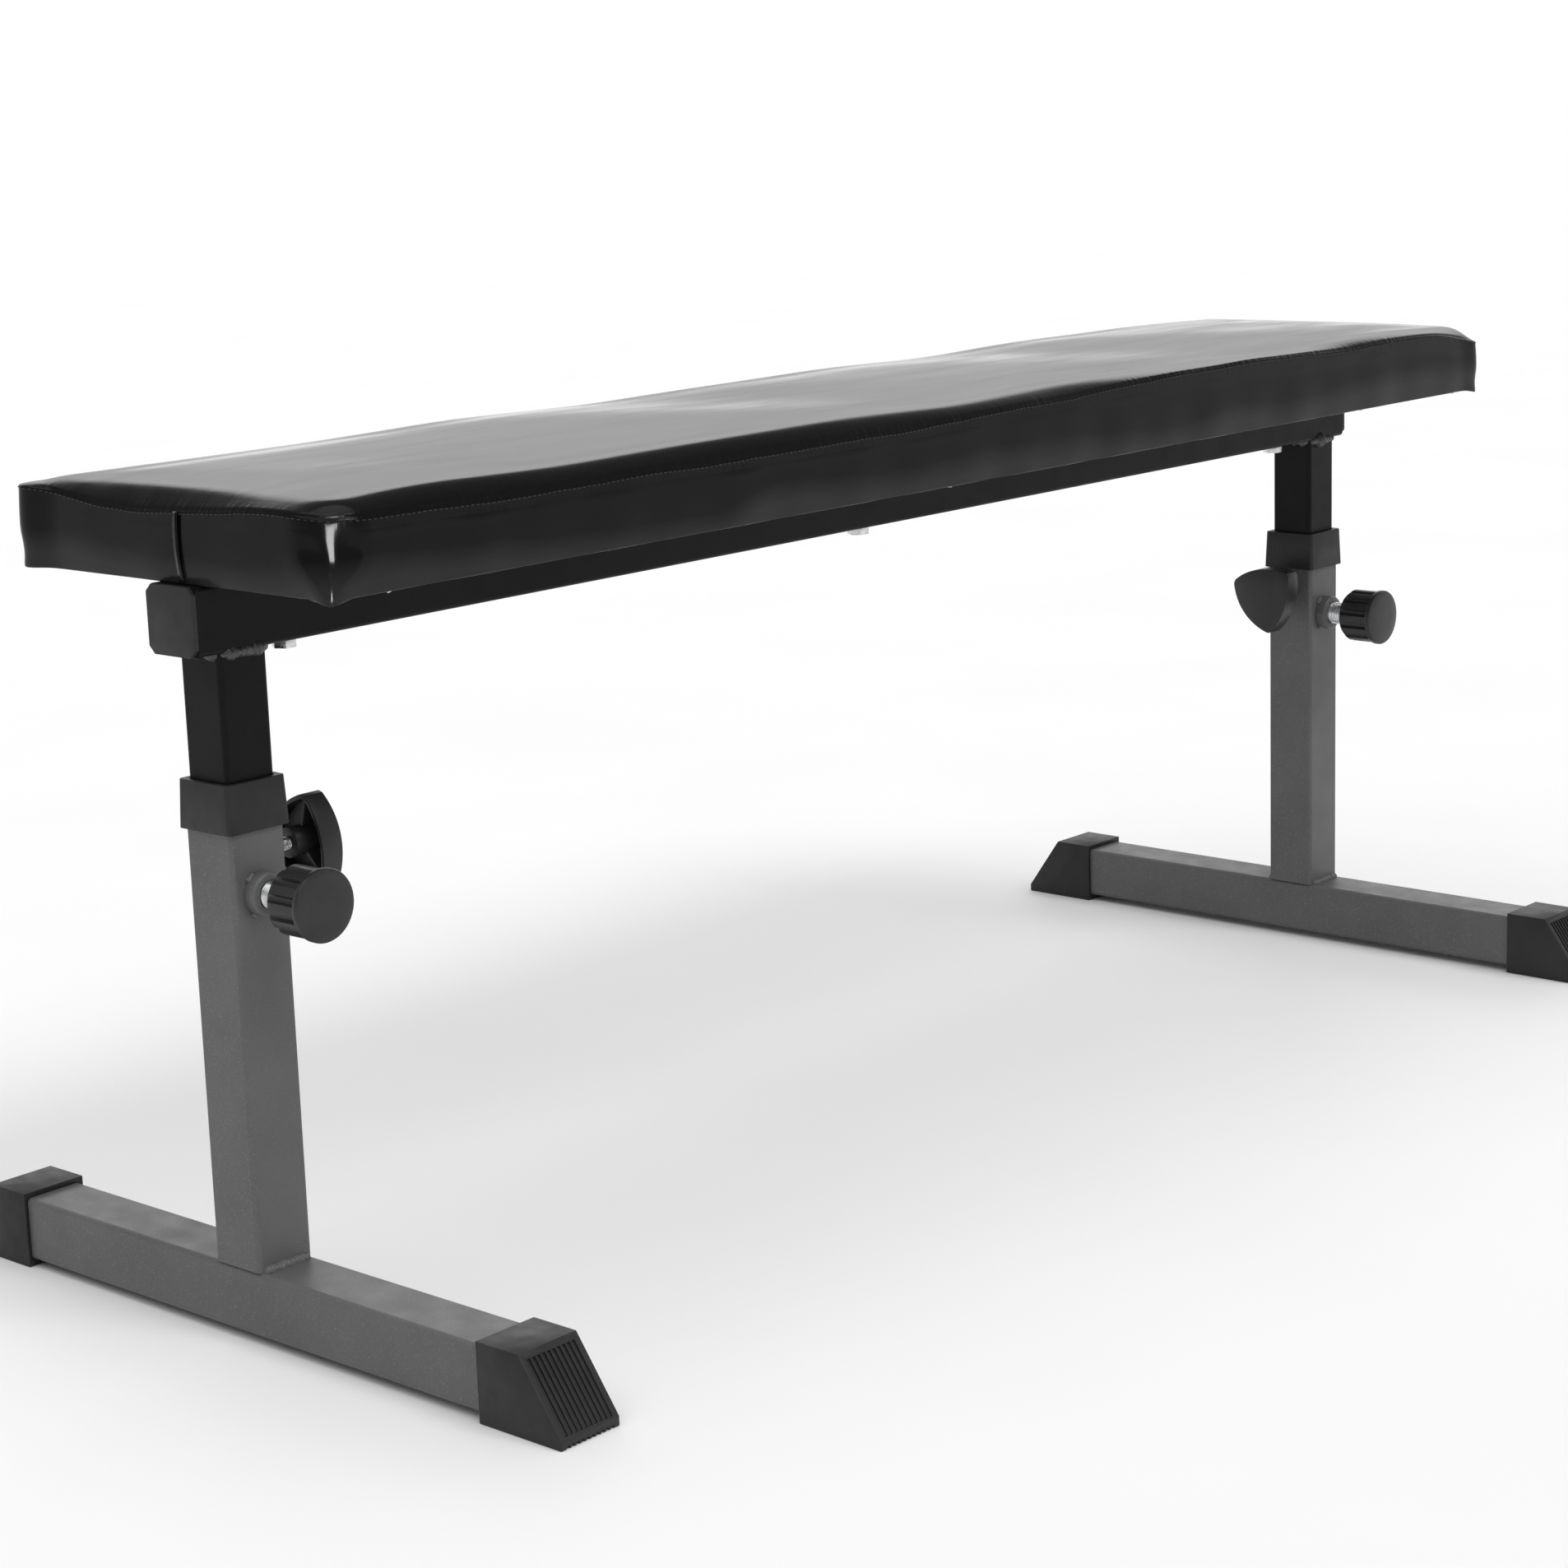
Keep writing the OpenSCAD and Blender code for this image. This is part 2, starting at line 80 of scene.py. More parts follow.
CAMERA_PLACE = Vector((-1.7695, -1.495, 0.7336))
CAMERA_HEADING = math.radians(41.71)
CAMERA_DOWN = math.radians(12.31)
CAMERA_ROLL = math.radians(-1.87)
CAMERA_LENS_MM = 77.55

# ---- light: radiance of the sky, and the angles above the horizon where it changes ----

HAZE_GLOW = 1.15             # a thin bright band all round, where the floor meets the sky
HAZE_TOP = (math.radians(1.5), math.radians(4))
SIDE_GLOW = 0.42             # the room above the haze, up to the backdrop's top
CEILING_GLOW = 0.28
HORIZON_GLOW = 0.8           # the foot of the backdrop behind the bench
BACKDROP_GLOW = 1.4          # how much brighter its top is than its foot
BACKDROP_FOOT = (math.radians(5), math.radians(27))
BACKDROP_TOP = (math.radians(27), math.radians(33))
BACKDROP_SIDES = (0.3, 0.8)  # cosines, off the camera's heading, between which it fades in

# name, strength, apparent width in degrees, direction towards the light
SUNS = (
    ("fill", 1.56, 80, (-0.22, -0.06, 1)),
    ("front", 1.0, 24, (0.08, -0.62, 0.72)),
)

# a small panel in front of the pad's near corner, seen only as a shine in the vinyl
GLINT_PLACE = Vector((-0.96, -0.58, 0.56))
GLINT_TARGET = Vector((-0.595, -0.12, 0.475))
GLINT_SIZE = (0.35, 0.26)
GLINT_WATTS = 15

# ---- pad ----

CELL = 6 * MM                # size of one cell of the pad's skin before it is subdivided
SEAM_DROP = 13.4 * MM        # the seam runs this far below the crown
SIDE_SHOULDER = 15 * MM      # the top falls steeply to the seam over this width
SIDE_SLOPE = 110 * MM        # behind a shoulder the top still rises gently to the crown
SIDE_SLOPE_SHARE = (0.12, 0.10)  # share of the rise that is gentle, at the -Y and +Y sides
END_SHOULDER = 18 * MM
END_SLOPE = 115 * MM
END_FALL = 3.0 * MM          # the height of the end's gentle rise
CROWN_DROP = 1.2 * MM        # the foam's mean crown is this far below the cover's box
NEAR_RISE = 0.6 * MM         # the foam is this much thicker towards the near end
NEAR_RISE_PLACE = -0.42
NEAR_RISE_REACH = 0.28
PINCH_REACH = 26 * MM        # the corners' pinch, notch and tip fade out this far from them
CORNER_NOTCH = 1.8 * MM      # a hollow just over each lower tip
NOTCH_REACH = 12 * MM
TIP_REACH = 18 * MM
# soft waves of the seam and the hem: height, turns along x and along y, start
SEAM_WAVES = ((0.35 * MM, 37, 31, 0), (0.2 * MM, 71, -43, 1.3))
HEM_WAVES = ((0.4 * MM, 61, 53, 0), (0.3 * MM, 113, -97, 0.7))
# where the seam lies higher or lower than elsewhere: x, y, height, reach
FOAM_SWELLS = (
    (-0.600, 0.135, 7.5 * MM, 0.055), (-0.600, -0.085, 4.5 * MM, 0.055), (-0.600, 0.045, -1.5 * MM, 0.040),
    (0.270, -0.128, 9.0 * MM, 0.180), (0.520, -0.128, 6.0 * MM, 0.100), (0.050, -0.128, 2.5 * MM, 0.150),
    (0.605, -0.130, -6.5 * MM, 0.040),
)
SHOULDER_POWER = 2.0
SEAM_ROLL = 1.2 * MM         # how far the seam is drawn in at a rounded corner
SEAM_ROLL_HEIGHT = 6 * MM
LOW_CORNER_RADIUS = 5 * MM
CORNER_FLUTES = 1.1 * MM     # depth of the soft folds in the rounded corner
CORNER_DENTS = 0.4 * MM
FLUTE_REACH = 40 * MM
BAND_BULGE = 1.6 * MM        # how far the side band swells between seam and lower edge
LOWER_TUCK = 1.2 * MM        # how far the lower edge is drawn in
LOWER_TUCK_SHARE = 0.4       # share of the band's height over which it is drawn in
LOWER_TUCK_GAP = 20 * MM     # the corners' surroundings that aren't drawn in
FLARE = 7 * MM               # how far the foam pushes the near +Y corner sideways
FLARE_REACH = 130 * MM
TURN_UNDER = 30 * MM         # width of the strip of vinyl turned under the board
UNDERSIDE_STEP = 2 * MM      # the skin passes into the board where the strip ends
SEAM_GROOVE = 1.0 * MM
SEAM_LIP = 0.3 * MM
CLOTH_SETTINGS = {
    "quality": 6, "mass": 0.25, "tension_stiffness": 12, "compression_stiffness": 8,
    "shear_stiffness": 3, "bending_stiffness": 0.4, "shrink_min": 0.0, "use_pressure": True,
    "uniform_pressure_force": 2.5, "vertex_group_mass": "held", "pin_stiffness": 1,
}
SIM_FRAMES = 20
SIM_CAP = 2.0 * MM           # the simulation may move no point further than this
PAINTED_REFLECTION_TOP = 0.470           # the band's lower part is painted paler up to this height: a painted reflection of the bright floor
PAINTED_REFLECTION_FADE = 14 * MM
STITCH_PITCH = 4 * MM
STITCH_LENGTH = 2.8 * MM
STITCH_DROP = 2.2 * MM       # the stitches run this far below the seam
THREAD_RADIUS = 0.35 * MM
LAP_PLACE = -3.6 * MM        # Y of the lap seam in the near end
LAP_THICKNESS = 1.5 * MM
STAPLE_PITCH = 42 * MM
STAPLE_INSET = 14 * MM
STAPLE_WIDTH = 10 * MM
STAPLE_WIRE = 0.45 * MM
# wire ends that show just under the -Y edge: x and tilt
STRAY_STAPLES = ((-0.550, 0.25), (-0.063, -0.15), (0.439, 0.2), (0.570, -0.3))
PLEAT_INSET = 3 * MM
PLEAT_ANGLES = (12, 32, 50, 72)


# ---- small helpers ----

def add_object(name, data):
    thing = bpy.data.objects.new(name, data)
    bpy.context.scene.collection.objects.link(thing)
    return thing


def add_piece(name, points, faces, material, body, slot):
    """A mesh object in the frame that rides on a body."""
    mesh = bpy.data.meshes.new(name)
    mesh.from_pydata([tuple(float(c) for c in p) for p in points], [], [list(f) for f in faces])
    mesh.validate()
    mesh.polygons.foreach_set("use_smooth", [True] * len(mesh.polygons))
    mesh.materials.append(material)
    piece = add_object(name, mesh)
    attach(piece, body)
    return piece


def auto_smooth(mesh, angle=30):
    """Smooth shading with hard edges where faces meet more sharply than the angle."""
    shape = bmesh.new()
    shape.from_mesh(mesh)
    for face in shape.faces:
        face.smooth = True
    for edge in shape.edges:
        edge.smooth = edge.is_manifold and edge.calc_face_angle() < math.radians(angle)
    shape.to_mesh(mesh)
    shape.free()


def smoothstep(value, low, high):
    """0 below low, 1 above high, smooth between; for numbers and arrays."""
    share = np.clip((value - low) / (high - low), 0, 1)
    return share * share * (3 - 2 * share)


def node_size(node):
    low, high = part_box(node)
    return high - low


def node_middle(node):
    low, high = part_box(node)
    return (low + high) / 2


# ---- materials ----

def add_node(tree, kind, inputs, **settings):
    """A new node; each input takes a plain value, or the socket that feeds it."""
    node = tree.nodes.new(kind)
    for name, value in settings.items():
        setattr(node, name, value)
    for name, value in inputs.items():
        if isinstance(value, bpy.types.NodeSocket):
            tree.links.new(value, node.inputs[name])
        else:
            node.inputs[name].default_value = value
    return node


class Finish:
    """A Principled material and short calls for the nodes that feed it."""

    def __init__(self, name, roughness, specular, metallic=0.0):
        self.material = bpy.data.materials.new(name)
        self.material.use_nodes = True
        self.tree = self.material.node_tree
        self.shader = self.tree.nodes["Principled BSDF"]
        self.shader.inputs["Roughness"].default_value = roughness
        self.shader.inputs["Specular IOR Level"].default_value = specular
        self.shader.inputs["Metallic"].default_value = metallic
        self.place = self.tree.nodes.new("ShaderNodeTexCoord").outputs["Object"]
        self.height = None

    def add(self, kind, inputs, output, **settings):
        return add_node(self.tree, kind, inputs, **settings).outputs[output]

    def feed(self, socket, name):
        self.tree.links.new(socket, self.shader.inputs[name])

    def stretched(self, scale):
        if not scale:
            return self.place
        return self.add("ShaderNodeMapping", {"Vector": self.place, "Scale": scale}, "Vector")

    def noise(self, scale, detail=2.0, stretch=None, roughness=0.5, distortion=0.0):
        inputs = {
            "Vector": self.stretched(stretch), "Scale": scale, "Detail": detail,
            "Roughness": roughness, "Distortion": distortion,
        }
        return self.add("ShaderNodeTexNoise", inputs, "Fac")

    def cells(self, scale, feature="F1"):
        inputs = {"Vector": self.place, "Scale": scale}
        return self.add("ShaderNodeTexVoronoi", inputs, "Distance", feature=feature)

    def bands(self, scale, direction, distortion=0.0):
        inputs = {"Vector": self.place, "Scale": scale, "Distortion": distortion}
        return self.add("ShaderNodeTexWave", inputs, "Fac", bands_direction=direction)

    def painted_reflection_below(self, top, fade):
        """1 below a height, fading to 0 over a distance, with a wandering edge."""
        split = add_node(self.tree, "ShaderNodeSeparateXYZ", {"Vector": self.place})
        wander = self.between(self.noise(5, 3), -fade, fade, 0.2, 0.8)
        height = self.maths("ADD", split.outputs["Z"], wander)
        return self.between(height, 1, 0, top - fade, top)

    def maths(self, operation, first, second):
        """One arithmetic step; each value may be a socket or a number."""
        return self.add("ShaderNodeMath", {0: first, 1: second}, "Value", operation=operation)

    def puckers(self, uv_map, pitch, reach):
        """Wrinkles across a seam, from a UV map of metres along it and metres from it."""
        place = self.add("ShaderNodeUVMap", {}, "UV", uv_map=uv_map)
        split = add_node(self.tree, "ShaderNodeSeparateXYZ", {"Vector": place})
        scale = (0.9 / pitch, 0.12 / pitch, 1)
        where = self.add("ShaderNodeMapping", {"Vector": place, "Scale": scale}, "Vector")
        wrinkles = self.add("ShaderNodeTexNoise", {"Vector": where, "Scale": 1.0, "Detail": 2.0}, "Fac")
        away = self.maths("ABSOLUTE", split.outputs["Y"], 0)
        near = self.between(away, 1, 0, 1 * MM, reach)
        return self.maths("MULTIPLY", wrinkles, near)

    def between(self, value, low, high, from_low=0.3, from_high=0.7):
        """Spreads a 0 to 1 pattern over low to high."""
        inputs = {
            "Value": value, "From Min": from_low, "From Max": from_high, "To Min": low, "To Max": high,
        }
        return self.add("ShaderNodeMapRange", inputs, "Result")

    def mixed(self, share, first, second):
        """Base colour that goes from the first colour to the second."""
        inputs = {"Factor": share, "A": first, "B": second}
        result = self.add("ShaderNodeMix", inputs, "Result", data_type="RGBA")
        self.feed(result, "Base Color")
        return result

    def colour(self, pattern, dark, light):
        """Base colour from dark to light along a pattern; each colour is three numbers."""
        return self.mixed(self.between(pattern, 0, 1), (*dark, 1), (*light, 1))

    def speckle(self, under, pattern, colour, threshold, width=0.02):
        """Spots of another colour over what colour() or speckle() made."""
        share = self.between(pattern, 0, 1, threshold, threshold + width)
        return self.mixed(share, under, (*colour, 1))

    def roughness(self, pattern, low, high):
        self.feed(self.between(pattern, low, high), "Roughness")

    def relief(self, pattern, depth):
        """Adds a pattern to the surface's relief, depth in metres."""
        inputs = {"Distance": depth, "Height": pattern}
        if self.height:
            inputs["Normal"] = self.height
        self.height = self.add("ShaderNodeBump", inputs, "Normal")
        self.feed(self.height, "Normal")


def grey(value, tint=1.0):
    return (value, value, value * tint)


def powder_coat(name, dark, light, specular, rough_low, rough_high):
    """Baked paint with orange peel and faint cloudiness."""
    finish = Finish(name, rough_high, specular)
    mix = finish.colour(finish.noise(14, 4), grey(dark, 1.02), grey(light, 1.02))
    finish.speckle(mix, finish.noise(1500, 0), grey(light * 1.5), 0.72)
    finish.roughness(finish.noise(45, 5), rough_low, rough_high)
    finish.relief(finish.noise(620, 2), 0.05 * MM)
    finish.relief(finish.noise(2600, 1), 0.012 * MM)
    return finish.material


def moulded_plastic(name, dark, light, specular, rough_low, rough_high, grain):
    """Injection-moulded plastic with a spark-eroded skin and faint flow marks."""
    finish = Finish(name, rough_high, specular)
    mix = finish.colour(finish.noise(30, 4, distortion=0.8), grey(dark), grey(light))
    finish.speckle(mix, finish.noise(900, 1), grey(light * 1.6), 0.73)
    finish.roughness(finish.noise(90, 4), rough_low, rough_high)
    finish.relief(finish.noise(1900, 2), grain)
    finish.relief(finish.noise(70, 2, stretch=(1, 1, 0.3)), 0.08 * MM)
    return finish.material


def zinc_plate(name):
    """Bright zinc-plated steel with drawn marks and cloudy patches."""
    finish = Finish(name, 0.3, 0.5, metallic=1.0)
    mix = finish.colour(finish.noise(160, 5), (0.50, 0.51, 0.52), (0.82, 0.83, 0.84))
    finish.speckle(mix, finish.noise(700, 2), grey(0.25), 0.70)
    finish.roughness(finish.noise(500, 4), 0.18, 0.42)
    finish.relief(finish.noise(1500, 2, stretch=(1, 1, 4)), 0.02 * MM)
    return finish.material


def spring_steel(name):
    finish = Finish(name, 0.35, 0.5, metallic=1.0)
    finish.colour(finish.noise(300, 3), grey(0.35), grey(0.55))
    finish.roughness(finish.noise(700, 3), 0.25, 0.45)
    finish.relief(finish.noise(2500, 1), 0.01 * MM)
    return finish.material


def vinyl(name):
    """Glossy black leatherette: pebble grain, soft streaks, puckers along the stitched seam, and a painted
    reflection that makes the band's lower part paler.
    """
    finish = Finish(name, 0.2, 0.12)
    mix = finish.colour(finish.noise(9, 5, stretch=(0.5, 1, 1)), grey(0.0022), grey(0.0042))
    mix = finish.speckle(mix, finish.cells(520, "DISTANCE_TO_EDGE"), grey(0.004), 0.0, 0.06)
    # painted reflection: the band is made paler below a wandering height, standing in for the bright floor
    # it reflects
    finish.speckle(mix, finish.painted_reflection_below(PAINTED_REFLECTION_TOP, PAINTED_REFLECTION_FADE), grey(0.022), 0.0, 1.0)
    finish.roughness(finish.noise(22, 6, stretch=(0.35, 1.6, 1), distortion=0.6), 0.12, 0.22)
    finish.relief(finish.cells(640, "SMOOTH_F1"), 0.010 * MM)
    finish.relief(finish.noise(38, 4, stretch=(0.5, 1.5, 1), distortion=1.2), 0.06 * MM)
    finish.relief(finish.puckers("seam", 4 * MM, 7 * MM), 0.32 * MM)
    return finish.material


def thread(name):
    """Black polyester sewing thread with its twist."""
    finish = Finish(name, 0.5, 0.4)
    finish.colour(finish.bands(900, "DIAGONAL", 2.0), grey(0.007), grey(0.026))
    finish.relief(finish.bands(900, "DIAGONAL", 2.0), 0.08 * MM)
    finish.roughness(finish.noise(800, 2), 0.4, 0.6)
    return finish.material


def non_woven(name):
    """Black spunbond cloth: matted fibres with a grid of small weld dots."""
    finish = Finish(name, 0.85, 0.25)
    fibres = finish.noise(420, 8, roughness=0.75, distortion=3.0)
    mix = finish.colour(fibres, grey(0.008), grey(0.035))
    finish.speckle(mix, finish.cells(330), grey(0.004), 0.75, 0.1)
    finish.roughness(finish.noise(300, 3), 0.7, 0.95)
    finish.relief(fibres, 0.12 * MM)
    finish.relief(finish.cells(330), 0.10 * MM)
    return finish.material


def plywood(name):
    """Thin birch layers with a fine grain along the board."""
    finish = Finish(name, 0.7, 0.3)
    grain = finish.noise(60, 6, stretch=(0.06, 1, 1), distortion=0.5)
    mix = finish.colour(grain, (0.42, 0.28, 0.15), (0.62, 0.46, 0.28))
    finish.speckle(mix, finish.bands(95, "Z"), (0.25, 0.16, 0.09), 0.8, 0.1)
    finish.roughness(finish.noise(200, 4), 0.55, 0.8)
    finish.relief(grain, 0.08 * MM)
    return finish.material


GREY_PAINT = powder_coat("grey_powder_coat", 0.098, 0.122, 0.32, 0.36, 0.50)
BLACK_PAINT = powder_coat("black_powder_coat", 0.0038, 0.0057, 0.12, 0.34, 0.46)
# the post's weld beads: the same black paint drawn about ten times lighter than the post's, as painted
# sheen
WELD_PAINT_WITH_PAINTED_SHEEN = powder_coat("black_weld_paint_with_painted_sheen", 0.034, 0.062, 0.50, 0.25, 0.42)
BLACK_PLASTIC = moulded_plastic("black_plastic", 0.018, 0.026, 0.28, 0.42, 0.56, 0.030 * MM)
KNOB_PLASTIC = moulded_plastic("knob_plastic", 0.016, 0.024, 0.36, 0.30, 0.44, 0.015 * MM)
ZINC = zinc_plate("zinc_plate")
SPRING_STEEL = spring_steel("spring_steel")
VINYL = vinyl("black_vinyl")
THREAD = thread("sewing_thread")
DUST_CLOTH = non_woven("dust_cloth")
PLYWOOD = plywood("plywood")

MATERIAL_OF_SLOT = {
    "grey_paint": GREY_PAINT, "black_paint": BLACK_PAINT, "black_plastic": BLACK_PLASTIC,
    "knob_plastic": KNOB_PLASTIC, "zinc_steel": ZINC, "black_vinyl": VINYL, "plywood": PLYWOOD,
    "foam": DUST_CLOTH, "dust_cloth": DUST_CLOTH,
}
SLOT_OF_NODE = {part["node"]: part["material_slot"] for part in frame["record"]["subparts"]}


def finish_cad_nodes():
    """Gives every CAD node the material of its slot."""
    for name, node in frame["nodes"].items():
        node.data.materials.clear()
        node.data.materials.append(MATERIAL_OF_SLOT[SLOT_OF_NODE[name]])


# ---- moulded and machined parts with broken edges ----

SHARP_EDGE = math.radians(28)  # faces of a CAD node that meet more sharply get a rounded edge


def softened(node, edge, segments=2):
    """A copy of a CAD node with its sharp edges rounded, shown instead of the node."""
    source = frame["nodes"][node]
    shape = bmesh.new()
    shape.from_mesh(source.data)
    bmesh.ops.remove_doubles(shape, verts=shape.verts, dist=0.001 * MM)
    bmesh.ops.dissolve_limit(
        shape, angle_limit=math.radians(0.5), verts=shape.verts, edges=shape.edges
    )
    sharp = [e for e in shape.edges if e.is_manifold and e.calc_face_angle() > SHARP_EDGE]
    bmesh.ops.bevel(
        shape, geom=sharp, offset=edge, offset_type="OFFSET", segments=segments, profile=0.5,
        affect="EDGES", clamp_overlap=True, harden_normals=False
    )
    bmesh.ops.remove_doubles(shape, verts=shape.verts, dist=0.001 * MM)
    mesh = bpy.data.meshes.new(node + "_soft")
    shape.to_mesh(mesh)
    shape.free()
    mesh.materials.append(source.data.materials[0])
    auto_smooth(mesh)
    piece = add_object(node + "_soft", mesh)
    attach(piece, source["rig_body"])
    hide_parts(node)


def soften_parts():
    for side in SIDES:
        softened(f"{side}_collar", 0.5 * MM)
        softened(f"{side}_foot_cap_front", 0.35 * MM)
        softened(f"{side}_foot_cap_rear", 0.35 * MM)
        softened(f"{side}_pin_boss", 0.5 * MM)
        softened(f"{side}_clamp_nut", 0.4 * MM)
        softened(f"{side}_clamp_knob", 0.7 * MM, segments=3)
        softened(f"beam_plug_{side}", 0.8 * MM, segments=3)
    softened("pad_bolts", 0.4 * MM)
    softened("pad_washers", 0.25 * MM)


# ---- turned parts ----

def turned(profile, steps, shape):
    """Points and faces of a ring-shaped solid turned about Z.

    profile is a closed loop of (radius, height), counter-clockwise in that plane;
    shape(radius, height, angle) gives each point's radius.
    """
    points = []
    faces = []
    rows = len(profile)
    for step in range(steps):
        angle = 2 * math.pi * step / steps
        for radius, height in profile:
            reach = shape(radius, height, angle)
            points.append((reach * math.cos(angle), reach * math.sin(angle), height))
    for step in range(steps):
        after = (step + 1) % steps
        for row in range(rows):
            below = (row + 1) % rows
            faces.append((step * rows + row, after * rows + row, after * rows + below, step * rows + below))
    return points, faces


def finely(profile, spacing):
    """The same closed loop of points with each long stretch cut into short ones."""
    out = []
    for here, there in zip(profile, profile[1:] + profile[:1]):
        length = math.dist(here, there)
        parts = max(1, math.ceil(length / spacing))
        for part in range(parts):
            share = part / parts
            out.append(tuple(a + (b - a) * share for a, b in zip(here, there)))
    return out


def pin_matrix(side):
    """Local +Z points from the upright's axis towards -Y, along the pull pin."""
    middle = node_middle(f"{side}_pin_sleeve")
    return Matrix.Translation((middle.x, 0, middle.z)) @ Matrix.Rotation(math.radians(90), 4, "X")


def clamp_matrix(side):
    """Local +Z points from the upright's axis towards the middle of the bench."""
    turn = 90 if side == "near" else -90
    middle = node_middle(f"{side}_clamp_screw")
    axis = node_middle(f"{side}_upright").x
    return Matrix.Translation((axis, 0, middle.z)) @ Matrix.Rotation(math.radians(turn), 4, "Y")


def thread_cut(outer, pitch, depth, start, end):
    """A shape for turned(): a thread cut into the outer surface, fading out at both ends."""

    def shape(radius, height, angle):
        if radius < outer - 0.1 * MM:
            return radius
        groove = abs(2 * ((height / pitch - angle / (2 * math.pi)) % 1) - 1)
        fade = smoothstep(height, start, start + pitch) * (1 - smoothstep(height, end - pitch, end))
        return radius - depth * groove * fade

    return shape


def add_turned(name, node, turning, matrix, material, body, slot, sharpest=40):
    """A turned piece placed by a matrix, shown instead of a CAD node."""
    points, faces = turning
    piece = add_piece(name, [matrix @ Vector(p) for p in points], faces, material, body, slot)
    auto_smooth(piece.data, sharpest)
    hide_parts(node)


PIN_THREAD = (1.5 * MM, 0.45 * MM)    # pitch and depth
CLAMP_THREAD = (1.25 * MM, 0.6 * MM)
CHAMFER = 1 * MM
STEM_RADIUS = 4.1 * MM
CHAMBER_RADIUS = 6.6 * MM
SLEEVE_END_WALL = 4 * MM


def make_sleeve(side):
    """The threaded zinc sleeve that guides the pull pin."""
    node = f"{side}_pin_sleeve"
    low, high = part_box(node)
    start, end = -high.y, -low.y
    boss_end = -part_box(f"{side}_pin_boss")[0].y
    outer = node_size(node).x / 2
    thread_shape = thread_cut(outer, *PIN_THREAD, boss_end, end - CHAMFER)
    profile = [
        (CHAMBER_RADIUS, start), (outer, start), (outer, boss_end), (outer, end - CHAMFER),
        (outer - CHAMFER, end), (STEM_RADIUS, end), (STEM_RADIUS, end - SLEEVE_END_WALL),
        (CHAMBER_RADIUS, end - SLEEVE_END_WALL),
    ]
    add_turned(
        f"{side}_pin_sleeve_threaded", node, turned(finely(profile, 0.25 * MM), 48, thread_shape),
        pin_matrix(side), ZINC, f"{side}_leg", "zinc_steel"
    )


def make_clamp_screw(side):
    """The clamp knob's screw, threaded between the nut and the knob's hub."""
    node = f"{side}_clamp_screw"
    axis = node_middle(f"{side}_upright").x
    low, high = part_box(node)
    start, end = sorted((abs(low.x - axis), abs(high.x - axis)))
    outer = node_size(node).y / 2
    core = 0.3 * MM
    thread_shape = thread_cut(outer, *CLAMP_THREAD, start + CHAMFER, end)
    profile = [
        (core, start), (outer - CHAMFER, start), (outer, start + CHAMFER), (outer, end), (core, end),
    ]
    add_turned(
        f"{side}_clamp_screw_threaded", node, turned(finely(profile, 0.3 * MM), 32, thread_shape),
        clamp_matrix(side), ZINC, f"{side}_clamp_screw", "zinc_steel"
    )


FLUTES = 12
FLUTE_DEPTH = 2.9 * MM
FLUTE_SHARE = 0.46           # share of the knob's rim that the flutes take
KNOB_DISC = 4.6 * MM         # thickness of the plain disc in front of the flutes
KNOB_DOME = 1.5 * MM


def make_pull_knob(side):
    """The fluted pull knob with its plain domed disc."""
    node = f"{side}_pin_knob"
    low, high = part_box(node)
    back, front = -high.y, -low.y
    outer = node_size(node).x / 2
    ridge = outer - 1.0 * MM
    disc = front - KNOB_DOME - KNOB_DISC

    def fluted(radius, height, angle):
        if height > disc or radius < STEM_RADIUS + 1 * MM:
            return radius
        phase = (angle * FLUTES / (2 * math.pi)) % 1
        across = abs(2 * phase - 1) / FLUTE_SHARE
        if across >= 1:
            return radius
        depth = FLUTE_DEPTH * math.sqrt(1 - across ** 4)
        return min(radius, ridge - depth)

    dome = [
        (outer * math.sin(t), front - KNOB_DOME * (1 - math.cos(t)) * 1.6)
        for t in np.radians(np.linspace(66, 1, 9))
    ]
    centre = STEM_RADIUS * 0.02
    profile = [
        (STEM_RADIUS, back), (ridge - 4.0 * MM, back), (ridge - 3.2 * MM, back + 0.4 * MM),
        (ridge - 0.5 * MM, back + 3.6 * MM), (ridge, back + 4.6 * MM),
        (ridge, disc - 0.01 * MM), (ridge, disc + 0.05 * MM), (outer - 0.3 * MM, disc + 0.3 * MM),
        (outer, disc + 0.8 * MM), (outer, front - 2.6 * MM), (outer - 0.35 * MM, front - 1.9 * MM),
        *dome, (centre, front), (centre, front - 4 * MM), (STEM_RADIUS, front - 5 * MM),
    ]
    add_turned(
        f"{side}_pull_knob", node, turned(finely(profile, 1.6 * MM), FLUTES * 20, fluted),
        pin_matrix(side), KNOB_PLASTIC, f"{side}_pull_pin", "knob_plastic", sharpest=34
    )


def make_spring(side):
    """The pin's spring in spring steel; the real one shortens as the knob is pulled, this copy keeps its
    length and rides on the leg.
    """
    node = f"{side}_pin_spring"
    source = frame["nodes"][node]
    piece = add_object(f"{side}_pin_spring_wire", source.data.copy())
    piece.data.materials.clear()
    piece.data.materials.append(SPRING_STEEL)
    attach(piece, f"{side}_leg")
    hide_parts(node)
    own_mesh(piece)


# ---- weld beads ----

def bar_faces(rows, sides):
    """Faces of a bar closed at both ends, for one more ring of points than there are rows."""
    faces = []
    for row in range(rows):
        for k in range(sides):
            after = (k + 1) % sides
            here, there = row * sides, (row + 1) * sides
            faces.append((here + k, here + after, there + after, there + k))
    faces.append(tuple(reversed(range(sides))))
    faces.append(tuple(rows * sides + k for k in range(sides)))
    return faces


